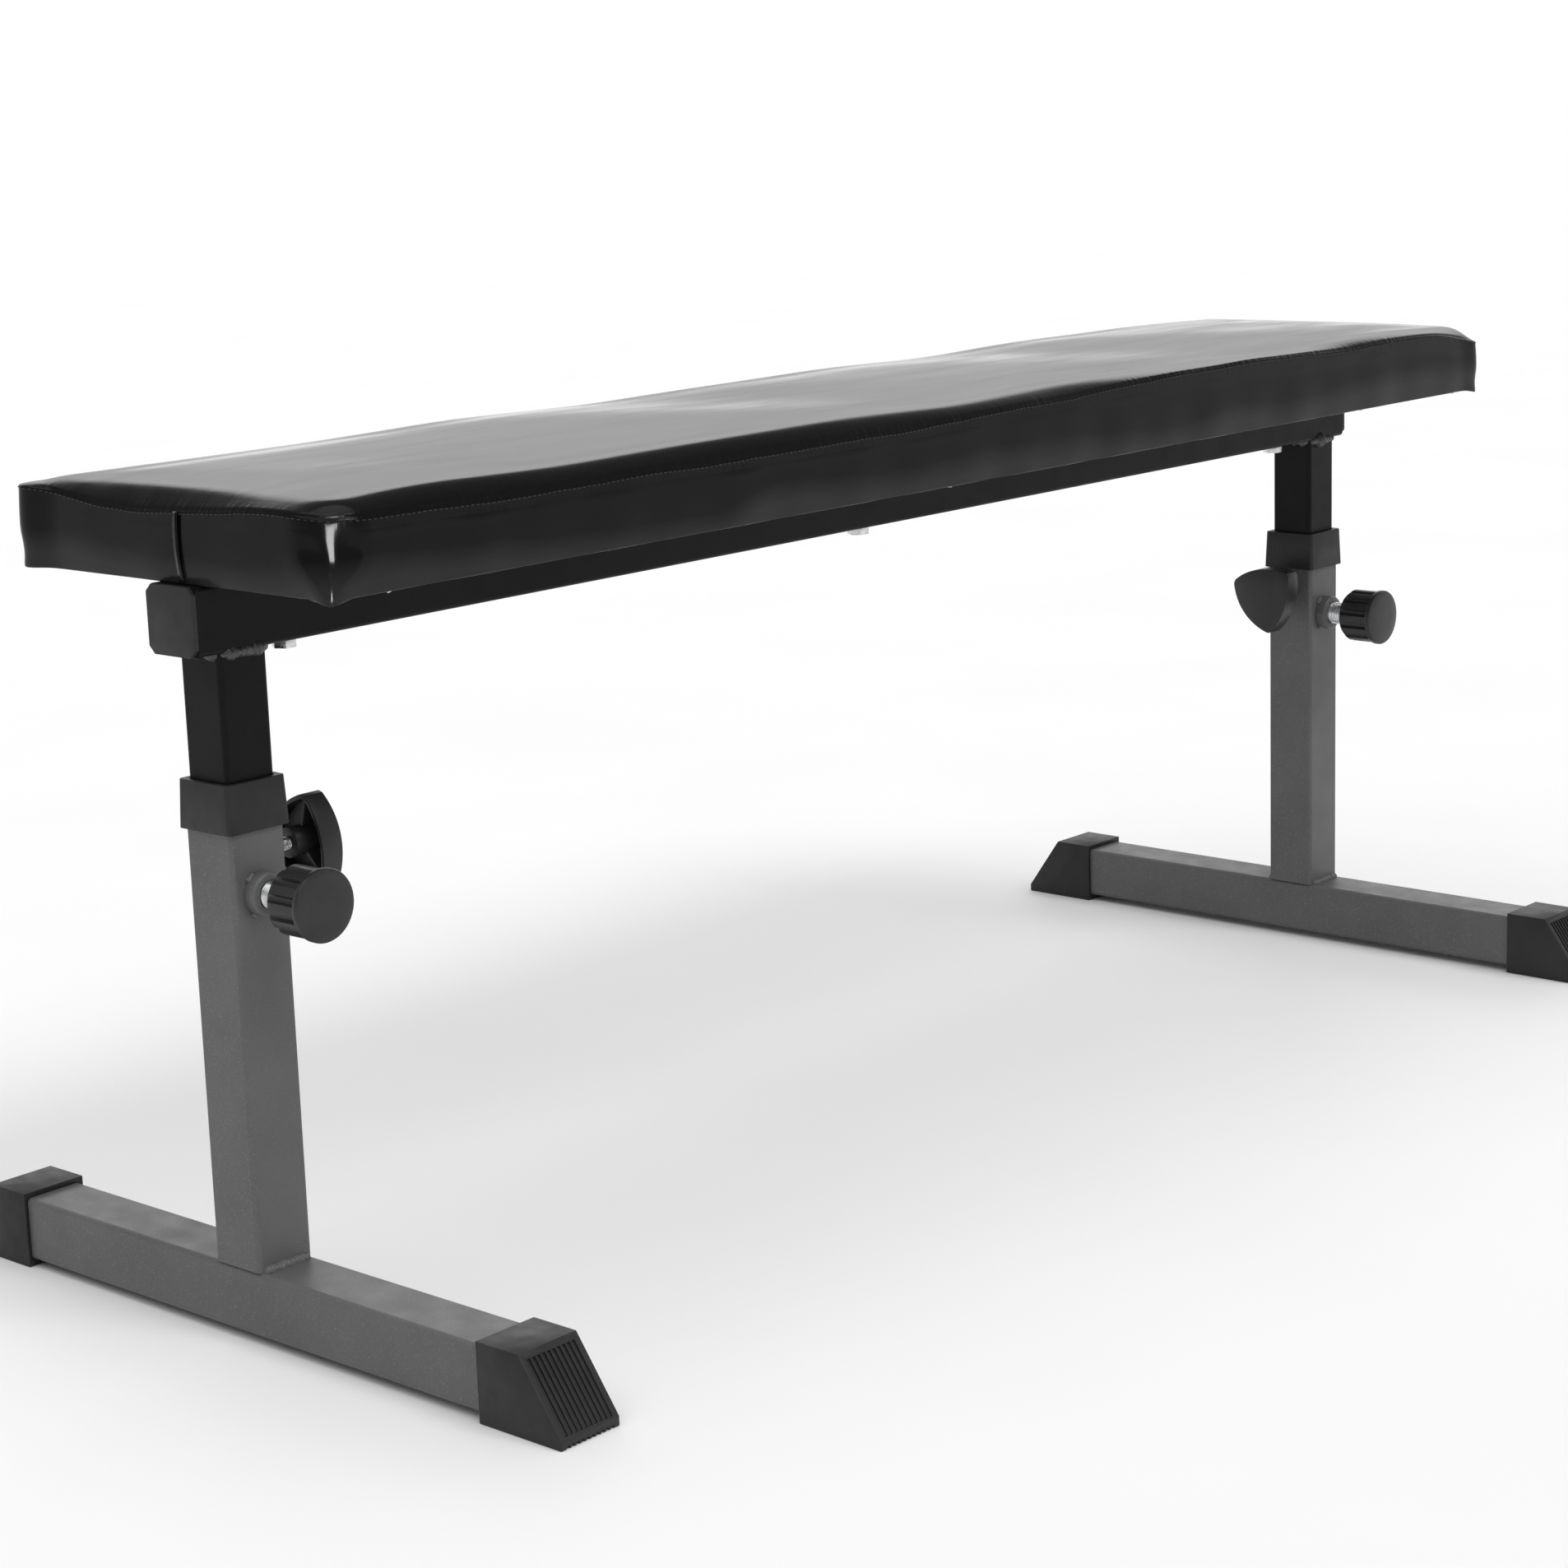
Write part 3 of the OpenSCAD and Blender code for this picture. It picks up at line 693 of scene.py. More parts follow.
def bead(start, end, radius, seed, ripple=2.3 * MM, lump=0.45):
    """Points and faces of a rippled weld bead laid in a corner from start to end."""
    line = end - start
    along = line.normalized()
    side = along.orthogonal().normalized()
    other = along.cross(side)
    rows = max(12, int(line.length / (0.45 * MM)))
    sides = 14
    points = []
    for row in range(rows + 1):
        share = row / rows
        run = share * line.length
        taper = math.sqrt(max(0.0, 1 - (2 * share - 1) ** 10))
        wave = 0.86 + 0.14 * abs(math.sin(math.pi * run / ripple))
        drift = noise.noise(Vector((run / (7 * MM), seed, 0.3)))
        for k in range(sides):
            angle = 2 * math.pi * k / sides
            around = Vector((run / (2.2 * MM), math.cos(angle) * 1.3 + seed, math.sin(angle) * 1.3))
            rough = noise.noise(around)
            reach = radius * max(0.05, taper) * wave * (1 + lump * drift + 0.22 * rough)
            centre = start + along * run
            points.append(centre + (side * math.cos(angle) + other * math.sin(angle)) * reach)
    return points, bar_faces(rows, sides)


def joined(parts):
    """One list of points and faces from several."""
    points = []
    faces = []
    for some_points, some_faces in parts:
        first = len(points)
        points.extend(some_points)
        faces.extend(tuple(first + i for i in face) for face in some_faces)
    return points, faces


FOOT_BEAD_RADIUS = 3.9 * MM
FOOT_BEAD_INSET = 2.5 * MM
POST_BEAD_RADIUS = 4.3 * MM
POST_BEAD_INSET = 1.5 * MM
TACK_RADIUS = 2.0 * MM
TACKS = ((128, 6.5 * MM), (238, 4.0 * MM), (20, 5.0 * MM))  # degrees round the boss, length


def make_foot_weld(side, seed):
    """Beads across the foot tube where the upright stands on it."""
    low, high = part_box(f"{side}_upright")
    parts = []
    for i, y in enumerate((low.y, high.y)):
        start = Vector((low.x + FOOT_BEAD_INSET, y, low.z))
        end = Vector((high.x - FOOT_BEAD_INSET, y, low.z))
        parts.append(bead(start, end, FOOT_BEAD_RADIUS, seed + i * 3.7))
    name = f"{side}_foot_weld_bead"
    piece = add_piece(name, *joined(parts), GREY_PAINT, f"{side}_leg", "grey_paint")
    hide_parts(f"{side}_foot_weld")


def make_post_weld(side, seed):
    """Rough beads all round the post under the beam."""
    low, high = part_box(f"{side}_post")
    top = high.z - 0.4 * MM
    plan = ((low.x, low.y), (high.x, low.y), (high.x, high.y), (low.x, high.y))
    corners = [Vector((x, y, top)) for x, y in plan]
    parts = []
    for i, (corner, after) in enumerate(zip(corners, corners[1:] + corners[:1])):
        inset = (after - corner).normalized() * POST_BEAD_INSET
        parts.append(bead(
            corner + inset, after - inset, POST_BEAD_RADIUS, seed + 2 * i * 2.9, ripple=3.1 * MM, lump=0.9
        ))
    name = f"{side}_post_weld_bead"
    # the beads are drawn in the lightened black paint, a painted sheen
    piece = add_piece(name, *joined(parts), WELD_PAINT_WITH_PAINTED_SHEEN, "seat_frame", "black_paint")
    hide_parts(f"{side}_post_weld")


def make_boss_tacks(side, seed):
    """Short tack welds that hold the pin's boss on the upright."""
    matrix = pin_matrix(side)
    face = -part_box(f"{side}_upright")[0].y
    radius = node_size(f"{side}_pin_boss").x / 2
    parts = []
    for i, (degrees, length) in enumerate(TACKS):
        angle = math.radians(degrees)
        turn = length / radius / 2
        ends = [
            matrix @ Vector((radius * math.cos(a), radius * math.sin(a), face + 0.3 * MM))
            for a in (angle - turn, angle + turn)
        ]
        parts.append(bead(*ends, TACK_RADIUS, seed + i * 5.1, lump=0.6))
    name = f"{side}_boss_tack_welds"
    add_piece(name, *joined(parts), GREY_PAINT, f"{side}_leg", "grey_paint")


# ---- the pad ----

pad_low, pad_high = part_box("pad_cover")
PAD_MIDDLE = (pad_low + pad_high) / 2
HALF_LENGTH = (pad_high.x - pad_low.x) / 2
HALF_WIDTH = (pad_high.y - pad_low.y) / 2
SEAM_HEIGHT = pad_high.z - SEAM_DROP
BAND_HEIGHT = SEAM_HEIGHT - pad_low.z

# each corner by the signs of x and y: its radius at the seam, how far it is pinched outwards, and
# how far its lower tip hangs
CORNER_RADIUS = {(-1, 1): 5.5 * MM, (-1, -1): 29 * MM, (1, 1): 9 * MM, (1, -1): 7 * MM}
PINCH = {(-1, 1): 6.5 * MM, (-1, -1): 0.0, (1, 1): 1.6 * MM, (1, -1): 2.4 * MM}
TIP_DROP = {(-1, 1): 0.8 * MM, (-1, -1): 3.2 * MM, (1, 1): 1.6 * MM, (1, -1): 3.0 * MM}


def ticks(length, cell, close):
    """Positions from 0 to length, a cell apart, with the close ones added at both ends."""
    inner = np.linspace(cell, length - cell, round(length / cell) - 1)
    near = np.array([0.0, *close])
    return np.concatenate([near, inner, length - near[::-1]])


CLOSE_ROWS = (1.1 * MM, 2.8 * MM)
LONG_TICKS = ticks(2 * HALF_LENGTH, CELL, CLOSE_ROWS) - HALF_LENGTH
WIDE_TICKS = ticks(2 * HALF_WIDTH, CELL, CLOSE_ROWS) - HALF_WIDTH
HIGH_TICKS = ticks(BAND_HEIGHT, CELL, CLOSE_ROWS)
CELLS_LONG = len(LONG_TICKS) - 1
CELLS_WIDE = len(WIDE_TICKS) - 1
CELLS_HIGH = len(HIGH_TICKS) - 1


def skin_lattice():
    """Lattice points and quads on the six sides of the pad's box of cells."""
    index = {}
    lattice = []

    def corner(i, j, k):
        if (i, j, k) not in index:
            index[(i, j, k)] = len(lattice)
            lattice.append((i, j, k))
        return index[(i, j, k)]

    def add_pair(a, b, front, back):
        """A cell on one side of the box, and the cell across from it."""
        square = [(a, b), (a + 1, b), (a + 1, b + 1), (a, b + 1)]
        faces.append([corner(*front(*spot)) for spot in square])
        faces.append([corner(*back(*spot)) for spot in reversed(square)])

    faces = []
    for i in range(CELLS_LONG):
        for j in range(CELLS_WIDE):
            add_pair(i, j, lambda a, b: (a, b, CELLS_HIGH), lambda a, b: (a, b, 0))
    for k in range(CELLS_HIGH):
        for i in range(CELLS_LONG):
            add_pair(i, k, lambda a, b: (a, 0, b), lambda a, b: (a, CELLS_WIDE, b))
        for j in range(CELLS_WIDE):
            add_pair(j, k, lambda a, b: (CELLS_LONG, a, b), lambda a, b: (0, a, b))
    return np.array(lattice), faces


def of_corner(table, x, y):
    """The table's value for the corner that each point is nearest to."""
    values = np.zeros(len(x))
    for (sx, sy), value in table.items():
        values[(np.where(x < 0, -1, 1) == sx) & (np.where(y < 0, -1, 1) == sy)] = value
    return values


def corner_radius(x, y, rise):
    """Corner radii seen from above; they grow from the pinched lower tips up to the seam."""
    radius = of_corner(CORNER_RADIUS, x, y)
    return LOW_CORNER_RADIUS + (radius - LOW_CORNER_RADIUS) * smoothstep(rise, 0.1, 0.55)


def rounded_plan(x, y, radius):
    """Moves points of the pad's rectangle so that its outline gets its round corners."""
    a = (np.abs(x) - HALF_LENGTH + radius) / radius
    b = (np.abs(y) - HALF_WIDTH + radius) / radius
    inside = (a > 0) & (b > 0)
    reach = np.where(inside, np.maximum(a, b), 1)
    angle = np.where(a > b, b / reach, 2 - a / reach) * math.pi / 4
    round_x = HALF_LENGTH - radius + radius * reach * np.cos(angle)
    round_y = HALF_WIDTH - radius + radius * reach * np.sin(angle)
    return np.where(inside, np.sign(x) * round_x, x), np.where(inside, np.sign(y) * round_y, y)


def outward(x, y, radius):
    """Outward direction of the outline nearest to points, seen from above."""
    qx = np.maximum(np.abs(x) - HALF_LENGTH + radius, 0)
    qy = np.maximum(np.abs(y) - HALF_WIDTH + radius, 0)
    size = np.maximum(np.hypot(qx, qy), 1e-9)
    return np.sign(x) * qx / size, np.sign(y) * qy / size


def corner_share(x, y, reach):
    """1 at the nearest corner of the pad's rectangle, falling to 0 at reach from it."""
    return 1 - smoothstep(np.hypot(HALF_LENGTH - np.abs(x), HALF_WIDTH - np.abs(y)), 0, reach)


def waves(x, y, table, lift=0):
    """The sum of a table's waves, each with a lift over its mean as a share of its height."""
    return sum(
        height * (lift + np.sin(x * turns_x + y * turns_y + start))
        for height, turns_x, turns_y, start in table
    )


def seam_level(x, y):
    """Height of the seam over its mean: the foam's rises and dips, and the sewing's waves."""
    level = waves(x, y, SEAM_WAVES)
    for place_x, place_y, height, reach in FOAM_SWELLS:
        away = np.hypot(x - place_x, y - place_y) / reach
        level = level + height * np.exp(-away ** 2)
    return level


def hem_wander(x, y):
    """How far the lower edge strays, only outwards, pulled about by its staples."""
    return waves(x, y, HEM_WAVES, lift=1)


def shoulder(inside, width):
    """0 on the seam, 1 from the width inwards, rounded."""
    return 1 - (1 - np.clip(inside / width, 0, 1)) ** SHOULDER_POWER


def top_level(from_end, from_side, seam, x, y):
    """Height of the top over the seam's mean height."""
    swell = 0.9 * MM * np.sin(x * 19 + 0.8 * np.sin(y * 14)) + 0.35 * MM * np.sin(x * 33 + y * 21 + 2.0)
    full = SEAM_DROP - CROWN_DROP + swell - END_FALL * (1 - shoulder(from_end, END_SLOPE))
    full = full + NEAR_RISE * np.exp(-((x - NEAR_RISE_PLACE) / NEAR_RISE_REACH) ** 2)
    gentle = np.where(y < 0, *SIDE_SLOPE_SHARE)
    steep_side = shoulder(from_side, SIDE_SHOULDER) * (1 - gentle)
    side = steep_side + shoulder(from_side, SIDE_SLOPE) * gentle
    return seam + (full - seam) * shoulder(from_end, END_SHOULDER) * side


def pad_shape(lattice):
    """The pad's skin before the simulation, and how far each point is from the pad's outline."""
    flat_x = LONG_TICKS[lattice[:, 0]]
    flat_y = WIDE_TICKS[lattice[:, 1]]
    height = HIGH_TICKS[lattice[:, 2]]
    rise = height / BAND_HEIGHT
    from_end = HALF_LENGTH - np.abs(flat_x)
    from_side = HALF_WIDTH - np.abs(flat_y)
    inside = np.minimum(from_end, from_side)
    on_band = inside < 0.01 * MM
    radius = corner_radius(flat_x, flat_y, rise)
    x, y = rounded_plan(flat_x, flat_y, radius)
    nx, ny = outward(x, y, radius)
    angle = np.arctan2(np.abs(ny), np.abs(nx))

    def near_corner(reach):
        return corner_share(flat_x, flat_y, reach)

    fluted = near_corner(FLUTE_REACH) * (of_corner(CORNER_RADIUS, x, y) > 2 * CELL)
    folds = CORNER_FLUTES * np.cos(angle * 8 - 0.9 + 1.2 * rise)
    folds = folds + CORNER_DENTS * np.sin(rise * 17 + angle * 5)
    flutes = folds * fluted * np.sin(math.pi * rise)
    drawn_in = np.clip(1 - rise / LOWER_TUCK_SHARE, 0, 1) ** 2 * (1 - near_corner(LOWER_TUCK_GAP))
    pinch = of_corner(PINCH, x, y) * near_corner(PINCH_REACH) * (0.8 + 0.2 * rise ** 3)
    pinch = pinch - CORNER_NOTCH * near_corner(NOTCH_REACH) * np.exp(-((rise - 0.22) / 0.1) ** 2)
    under_seam = np.clip(1 - (BAND_HEIGHT - height) / SEAM_ROLL_HEIGHT, 0, 1)
    roll = SEAM_ROLL * under_seam ** 2 * fluted
    push = BAND_BULGE * np.sin(math.pi * rise) - LOWER_TUCK * drawn_in + flutes + pinch - roll
    seam = seam_level(flat_x, flat_y)
    push = np.where(on_band, push + hem_wander(flat_x, flat_y) * (1 - rise), 0)
    near_end = (1 - smoothstep(from_end, 0, FLARE_REACH)) * (flat_x < 0)
    flare = FLARE * (near_end * np.clip(flat_y / HALF_WIDTH, 0, 1))
    under = UNDERSIDE_STEP * smoothstep(inside, TURN_UNDER - 2 * MM, TURN_UNDER + 4 * MM)
    z = np.where(
        lattice[:, 2] == CELLS_HIGH,
        SEAM_HEIGHT + top_level(from_end, from_side, seam, flat_x, flat_y),
        pad_low.z + height + rise * seam + np.where(lattice[:, 2] == 0, under, 0),
    )
    z = z - of_corner(TIP_DROP, x, y) * near_corner(TIP_REACH) * (1 - rise) ** 3 * on_band
    x = x + nx * push + PAD_MIDDLE.x
    y = y + ny * push + PAD_MIDDLE.y + flare
    return np.stack([x, y, z], 1), inside


def seam_coordinates(mesh, lattice):
    """A UV map in metres: how far along the seam, and how far over it (over 0) or under it."""
    layer = mesh.uv_layers.new(name="seam")
    length, width = 2 * HALF_LENGTH, 2 * HALF_WIDTH
    x = LONG_TICKS[lattice[:, 0]] + HALF_LENGTH
    y = WIDE_TICKS[lattice[:, 1]] + HALF_WIDTH
    below = HIGH_TICKS[lattice[:, 2]] - BAND_HEIGHT
    for face in mesh.polygons:
        corners = list(face.vertices)
        cx, cy = x[corners].mean(), y[corners].mean()
        gaps = [cy, length - cx, width - cy, cx]
        side = int(np.argmin(gaps))
        runs = (x, length + y, 2 * length + width - x, 2 * (length + width) - y)[side]
        overs = (y, length - x, width - y, x)[side]
        for loop, vertex in zip(face.loop_indices, corners):
            on_top = lattice[vertex, 2] == CELLS_HIGH
            layer.data[loop].uv = (runs[vertex], overs[vertex] if on_top else below[vertex])


def simulate(piece, held):
    """Swells the skin as cloth under pressure; held is 1 where a point stays, 0 where it is free."""
    group = piece.vertex_groups.new(name=CLOTH_SETTINGS["vertex_group_mass"])
    for i, weight in enumerate(held):
        group.add([i], float(weight), "REPLACE")
    cloth = piece.modifiers.new("Cloth", "CLOTH")
    for name, value in CLOTH_SETTINGS.items():
        setattr(cloth.settings, name, value)
    cloth.settings.effector_weights.gravity = 0
    cloth.point_cache.frame_start = 1
    cloth.point_cache.frame_end = SIM_FRAMES
    start = np.array([v.co for v in piece.data.vertices])
    for step in range(1, SIM_FRAMES + 1):
        bpy.context.scene.frame_set(step)
    swollen = piece.evaluated_get(bpy.context.evaluated_depsgraph_get())
    end = np.array([v.co for v in swollen.data.vertices])
    piece.modifiers.remove(cloth)
    piece.vertex_groups.remove(group)
    bpy.context.scene.frame_set(1)
    move = end - start
    size = np.linalg.norm(move, axis=1)
    share = SIM_CAP * np.tanh(size / SIM_CAP) / np.maximum(size, 1e-9)
    piece.data.vertices.foreach_set("co", (start + move * share[:, None]).astype(np.float32).ravel())
    piece.data.update()


def rim_loop(lattice, i_edge, j_edge, level):
    """Indices of the points round the pad, in order, some rows in from the edge at a level."""
    index = {tuple(p): i for i, p in enumerate(lattice.tolist())}
    far_i, far_j = CELLS_LONG - i_edge, CELLS_WIDE - j_edge
    loop = [(i, j_edge) for i in range(i_edge, far_i)]
    loop += [(far_i, j) for j in range(j_edge, far_j)]
    loop += [(i, far_j) for i in range(far_i, i_edge, -1)]
    loop += [(i_edge, j) for j in range(far_j, j_edge, -1)]
    return [index[(i, j, level)] for i, j in loop]


def draw_in_seam(mesh, lattice):
    """Sinks the seam into a groove and raises the vinyl on both sides of it."""
    moves = (
        (rim_loop(lattice, 0, 0, CELLS_HIGH), -SEAM_GROOVE),
        (rim_loop(lattice, 1, 1, CELLS_HIGH), SEAM_LIP),
        (rim_loop(lattice, 0, 0, CELLS_HIGH - 1), SEAM_LIP),
    )
    normals = {i: mesh.vertices[i].normal.copy() for loop, _ in moves for i in loop}
    for loop, depth in moves:
        for i in loop:
            mesh.vertices[i].co += normals[i] * depth
    mesh.update()


def make_cushion():
    """The vinyl skin over the foam, swollen by a cloth simulation, with its sunk seam."""
    lattice, faces = skin_lattice()
    points, inside = pad_shape(lattice)
    cushion = add_piece("pad_cushion", points, faces, VINYL, "seat_frame", "black_vinyl")
    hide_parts("pad_cover", "pad_foam")
    seam_coordinates(cushion.data, lattice)
    on_top = lattice[:, 2] == CELLS_HIGH
    below_seam = BAND_HEIGHT - HIGH_TICKS[lattice[:, 2]]
    edge = 4 * MM
    held = np.where(on_top, 0.5 - 0.38 * smoothstep(inside, 10 * MM, 50 * MM), 0.0)
    held = np.where(on_top & (inside < edge), 0.8, held)
    held = np.where(~on_top & (below_seam < edge), 0.8, held)
    held = np.where(~on_top & (below_seam > BAND_HEIGHT - edge), 0.9, held)
    held[lattice[:, 2] == 0] = 1.0
    simulate(cushion, held)
    seam = [cushion.data.vertices[i].co.copy() for i in rim_loop(lattice, 0, 0, CELLS_HIGH)]
    hem = [cushion.data.vertices[i].co.copy() for i in rim_loop(lattice, 0, 0, 0)]
    draw_in_seam(cushion.data, lattice)
    smooth = cushion.modifiers.new("Subdivision", "SUBSURF")
    smooth.levels = 1
    smooth.render_levels = 1
    return cushion, seam, hem


def surface_of(piece):
    """A tree for finding the nearest point on a piece as it is rendered."""
    bpy.context.view_layer.update()
    graph = bpy.context.evaluated_depsgraph_get()
    return BVHTree.FromObject(piece, graph)


def along(loop, spacing):
    """Points a spacing apart round a closed line, with the line's direction at each."""
    points = np.array([tuple(p) for p in loop] + [tuple(loop[0])])
    runs = np.concatenate([[0], np.cumsum(np.linalg.norm(np.diff(points, axis=0), axis=1))])
    count = round(runs[-1] / spacing)
    wanted = np.arange(count) * runs[-1] / count

    def at(run):
        return np.stack([np.interp(run % runs[-1], runs, points[:, axis]) for axis in range(3)], 1)

    ahead = at(wanted + spacing / 2) - at(wanted - spacing / 2)
    ahead /= np.linalg.norm(ahead, axis=1)[:, None]
    return [(Vector(p), Vector(d)) for p, d in zip(at(wanted), ahead)]


def tube(path, radii, sides=6):
    """Points and faces of a round bar along a path, closed at both ends."""
    points = []
    for here, (centre, radius) in enumerate(zip(path, radii)):
        before, after = path[max(here - 1, 0)], path[min(here + 1, len(path) - 1)]
        forward = (after - before).normalized()
        side = forward.orthogonal().normalized()
        other = forward.cross(side)
        for k in range(sides):
            angle = 2 * math.pi * k / sides
            points.append(centre + (side * math.cos(angle) + other * math.sin(angle)) * radius)
    return points, bar_faces(len(path) - 1, sides)


def make_stitches(surface, seam):
    """One row of thread stitches on the band just under the seam."""
    down = Vector((0, 0, -1))
    parts = []
    for point, ahead in along(seam, STITCH_PITCH):
        slack = noise.noise(point * 60)
        start = point + down * (STITCH_DROP + 0.5 * MM * slack)
        spot, normal, _, _ = surface.find_nearest(start + ahead.cross(down) * -2 * MM)
        path = []
        for share in (-1, -0.7, 0, 0.7, 1):
            lift = THREAD_RADIUS * (0.55 - 1.6 * abs(share) ** 3) + 0.05 * MM * slack
            path.append(spot + ahead * (share * STITCH_LENGTH / 2) + normal * lift)
        parts.append(tube(path, [THREAD_RADIUS * f for f in (0.6, 0.95, 1, 0.95, 0.6)]))
    add_piece("pad_stitches", *joined(parts), THREAD, "seat_frame", "black_vinyl")


def make_lap_seam(surface):
    """The band's end lapped over its start, in the middle of the pad's near end."""
    rows = 28
    top, bottom = SEAM_HEIGHT + 2.2 * MM, pad_low.z + 0.4 * MM
    # across the lap in mm, and height off the band as a share of its thickness
    columns = (
        (-5, 0.0), (-3.6, 0.3), (-2, 0.75), (-0.8, 1.1), (0, 1.2), (0.5, 1.05), (0.6, 0.8), (0.2, 0.55),
        (-0.9, 0.35), (-1.2, -0.5),
    )
    points = []
    for row in range(rows + 1):
        share = row / rows
        z = top + (bottom - top) * share
        bow = LAP_PLACE - 1.2 * MM * math.sin(share * 2.6) - 2.2 * MM * share ** 2
        for across, lift in columns:
            start = Vector((pad_low.x - 6 * MM, bow - across * MM, z))
            spot, normal, _, _ = surface.find_nearest(start)
            ends = min(1, share * 9, (1 - share) * 12 + 0.4)
            points.append(spot + normal * lift * LAP_THICKNESS * (0.35 + 0.65 * ends))
    wide = len(columns)
    faces = [
        (row * wide + k, row * wide + k + 1, (row + 1) * wide + k + 1, (row + 1) * wide + k)
        for row in range(rows) for k in range(wide - 1)
    ]
    piece = add_piece("pad_lap_seam", points, faces, VINYL, "seat_frame", "black_vinyl")
    thick = piece.modifiers.new("Solidify", "SOLIDIFY")
    thick.thickness = 0.3 * MM
    thick.offset = -1


def staple(centre, half, up, bends, wire):
    """A staple's wire: across by shares of its half width, with both ends turned up."""
    path = [centre + half * share for share in bends]
    path = [path[0] + up, *path, path[-1] + up]
    return tube(path, [wire] * len(path))


def make_staples(hem):
    """Wire staples that hold the turned-under vinyl to the board, seen from below."""
    parts = []
    middle = Vector((PAD_MIDDLE.x, PAD_MIDDLE.y, 0))
    for point, ahead in along(hem, STAPLE_PITCH):
        inward = Vector((-ahead.y, ahead.x, 0)).normalized()
        if inward.dot(middle - point) < 0:
            inward.negate()
        skew = 0.5 * noise.noise(point * 40)
        across = (ahead + inward * skew).normalized()
        centre = point + inward * (STAPLE_INSET + 3 * MM * noise.noise(point * 23))
        centre.z = pad_low.z + 0.05 * MM
        half = across * STAPLE_WIDTH / 2
        up = Vector((0, 0, 1.2 * MM))
        parts.append(staple(centre, half, up, (-1, -0.9, 0.9, 1), STAPLE_WIRE))
    for x, tilt in STRAY_STAPLES:
        centre = Vector((x, pad_low.y + 2.0 * MM, pad_low.z + 0.1 * MM))
        half = Vector((1, 0, tilt)).normalized() * STAPLE_WIDTH * 0.25
        up = Vector((0, 1 * MM, 1.0 * MM))
        parts.append(staple(centre, half, up, (-1, 1), STAPLE_WIRE * 1.3))
    add_piece("pad_staples", *joined(parts), ZINC, "seat_frame", "zinc_steel")


def make_pleats():
    """Folds of the turned-under vinyl fanned round each lower corner of the pad."""
    parts = []
    for sx, sy, degrees in product((-1, 1), (-1, 1), PLEAT_ANGLES):
        angle = math.radians(degrees)
        run = Vector((-sx * math.cos(angle), -sy * math.sin(angle), 0))
        reach = TURN_UNDER * (0.95 + 0.25 * math.sin(2 * angle))
        x = PAD_MIDDLE.x + sx * (HALF_LENGTH - PLEAT_INSET)
        y = PAD_MIDDLE.y + sy * (HALF_WIDTH - PLEAT_INSET)
        corner = Vector((x, y, pad_low.z + 0.5 * MM))
        shares = np.linspace(0, 1, 9)
        path = [corner + run * (reach * share) for share in shares]
        radii = [MM * (0.3 + 0.7 * math.sin(math.pi * min(share * 0.9 + 0.1, 1))) for share in shares]
        parts.append(tube(path, radii, 8))
    add_piece("pad_pleats", *joined(parts), VINYL, "seat_frame", "black_vinyl")


def make_dust_cover():
    """The black cloth stretched over the board between the turned-under strips."""
    low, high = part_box("pad_dust_cover")
    columns, rows = 120, 20
    lower = []
    upper = []
    for j in range(rows + 1):
        for i in range(columns + 1):
            u, v = i / columns, j / rows
            x = low.x + (high.x - low.x) * u
            y = low.y + (high.y - low.y) * v
            slack = min(1, 12 * min(u, 1 - u), 4 * min(v, 1 - v))
            sag = 0.12 * MM * noise.noise(Vector((x * 14, y * 30, 0))) * slack
            lower.append((x, y, low.z + 0.45 * MM + sag))
            upper.append((x, y, low.z + 0.85 * MM + sag))
    count = len(lower)
    wide = columns + 1
    faces = []
    for j in range(rows):
        for i in range(columns):
            a = j * wide + i
            faces.append((a, a + wide, a + wide + 1, a + 1))
            faces.append((count + a, count + a + 1, count + a + wide + 1, count + a + wide))
    rim = [*range(columns)] + [columns + j * wide for j in range(rows)]
    rim += [rows * wide + i for i in range(columns, 0, -1)] + [j * wide for j in range(rows, 0, -1)]
    for a, b in zip(rim, rim[1:] + rim[:1]):
        faces.append((a, b, count + b, count + a))
    piece = add_piece("pad_dust_cloth", lower + upper, faces, DUST_CLOTH, "seat_frame", "dust_cloth")
    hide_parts("pad_dust_cover")


# ---- floor, light and camera ----

def make_stage():
    size = 40.0
    mesh = bpy.data.meshes.new("floor")
    mesh.from_pydata(
        [(-size, -size, 0), (size, -size, 0), (size, size, 0), (-size, size, 0)], [], [(0, 1, 2, 3)]
    )
    floor = add_object("floor", mesh)
    floor.location.z = -0.3 * MM
    finish = Finish("pale_floor", 0.6, 0.15)
    finish.colour(finish.noise(3, 3), grey(0.86), grey(0.88))
    mesh.materials.append(finish.material)


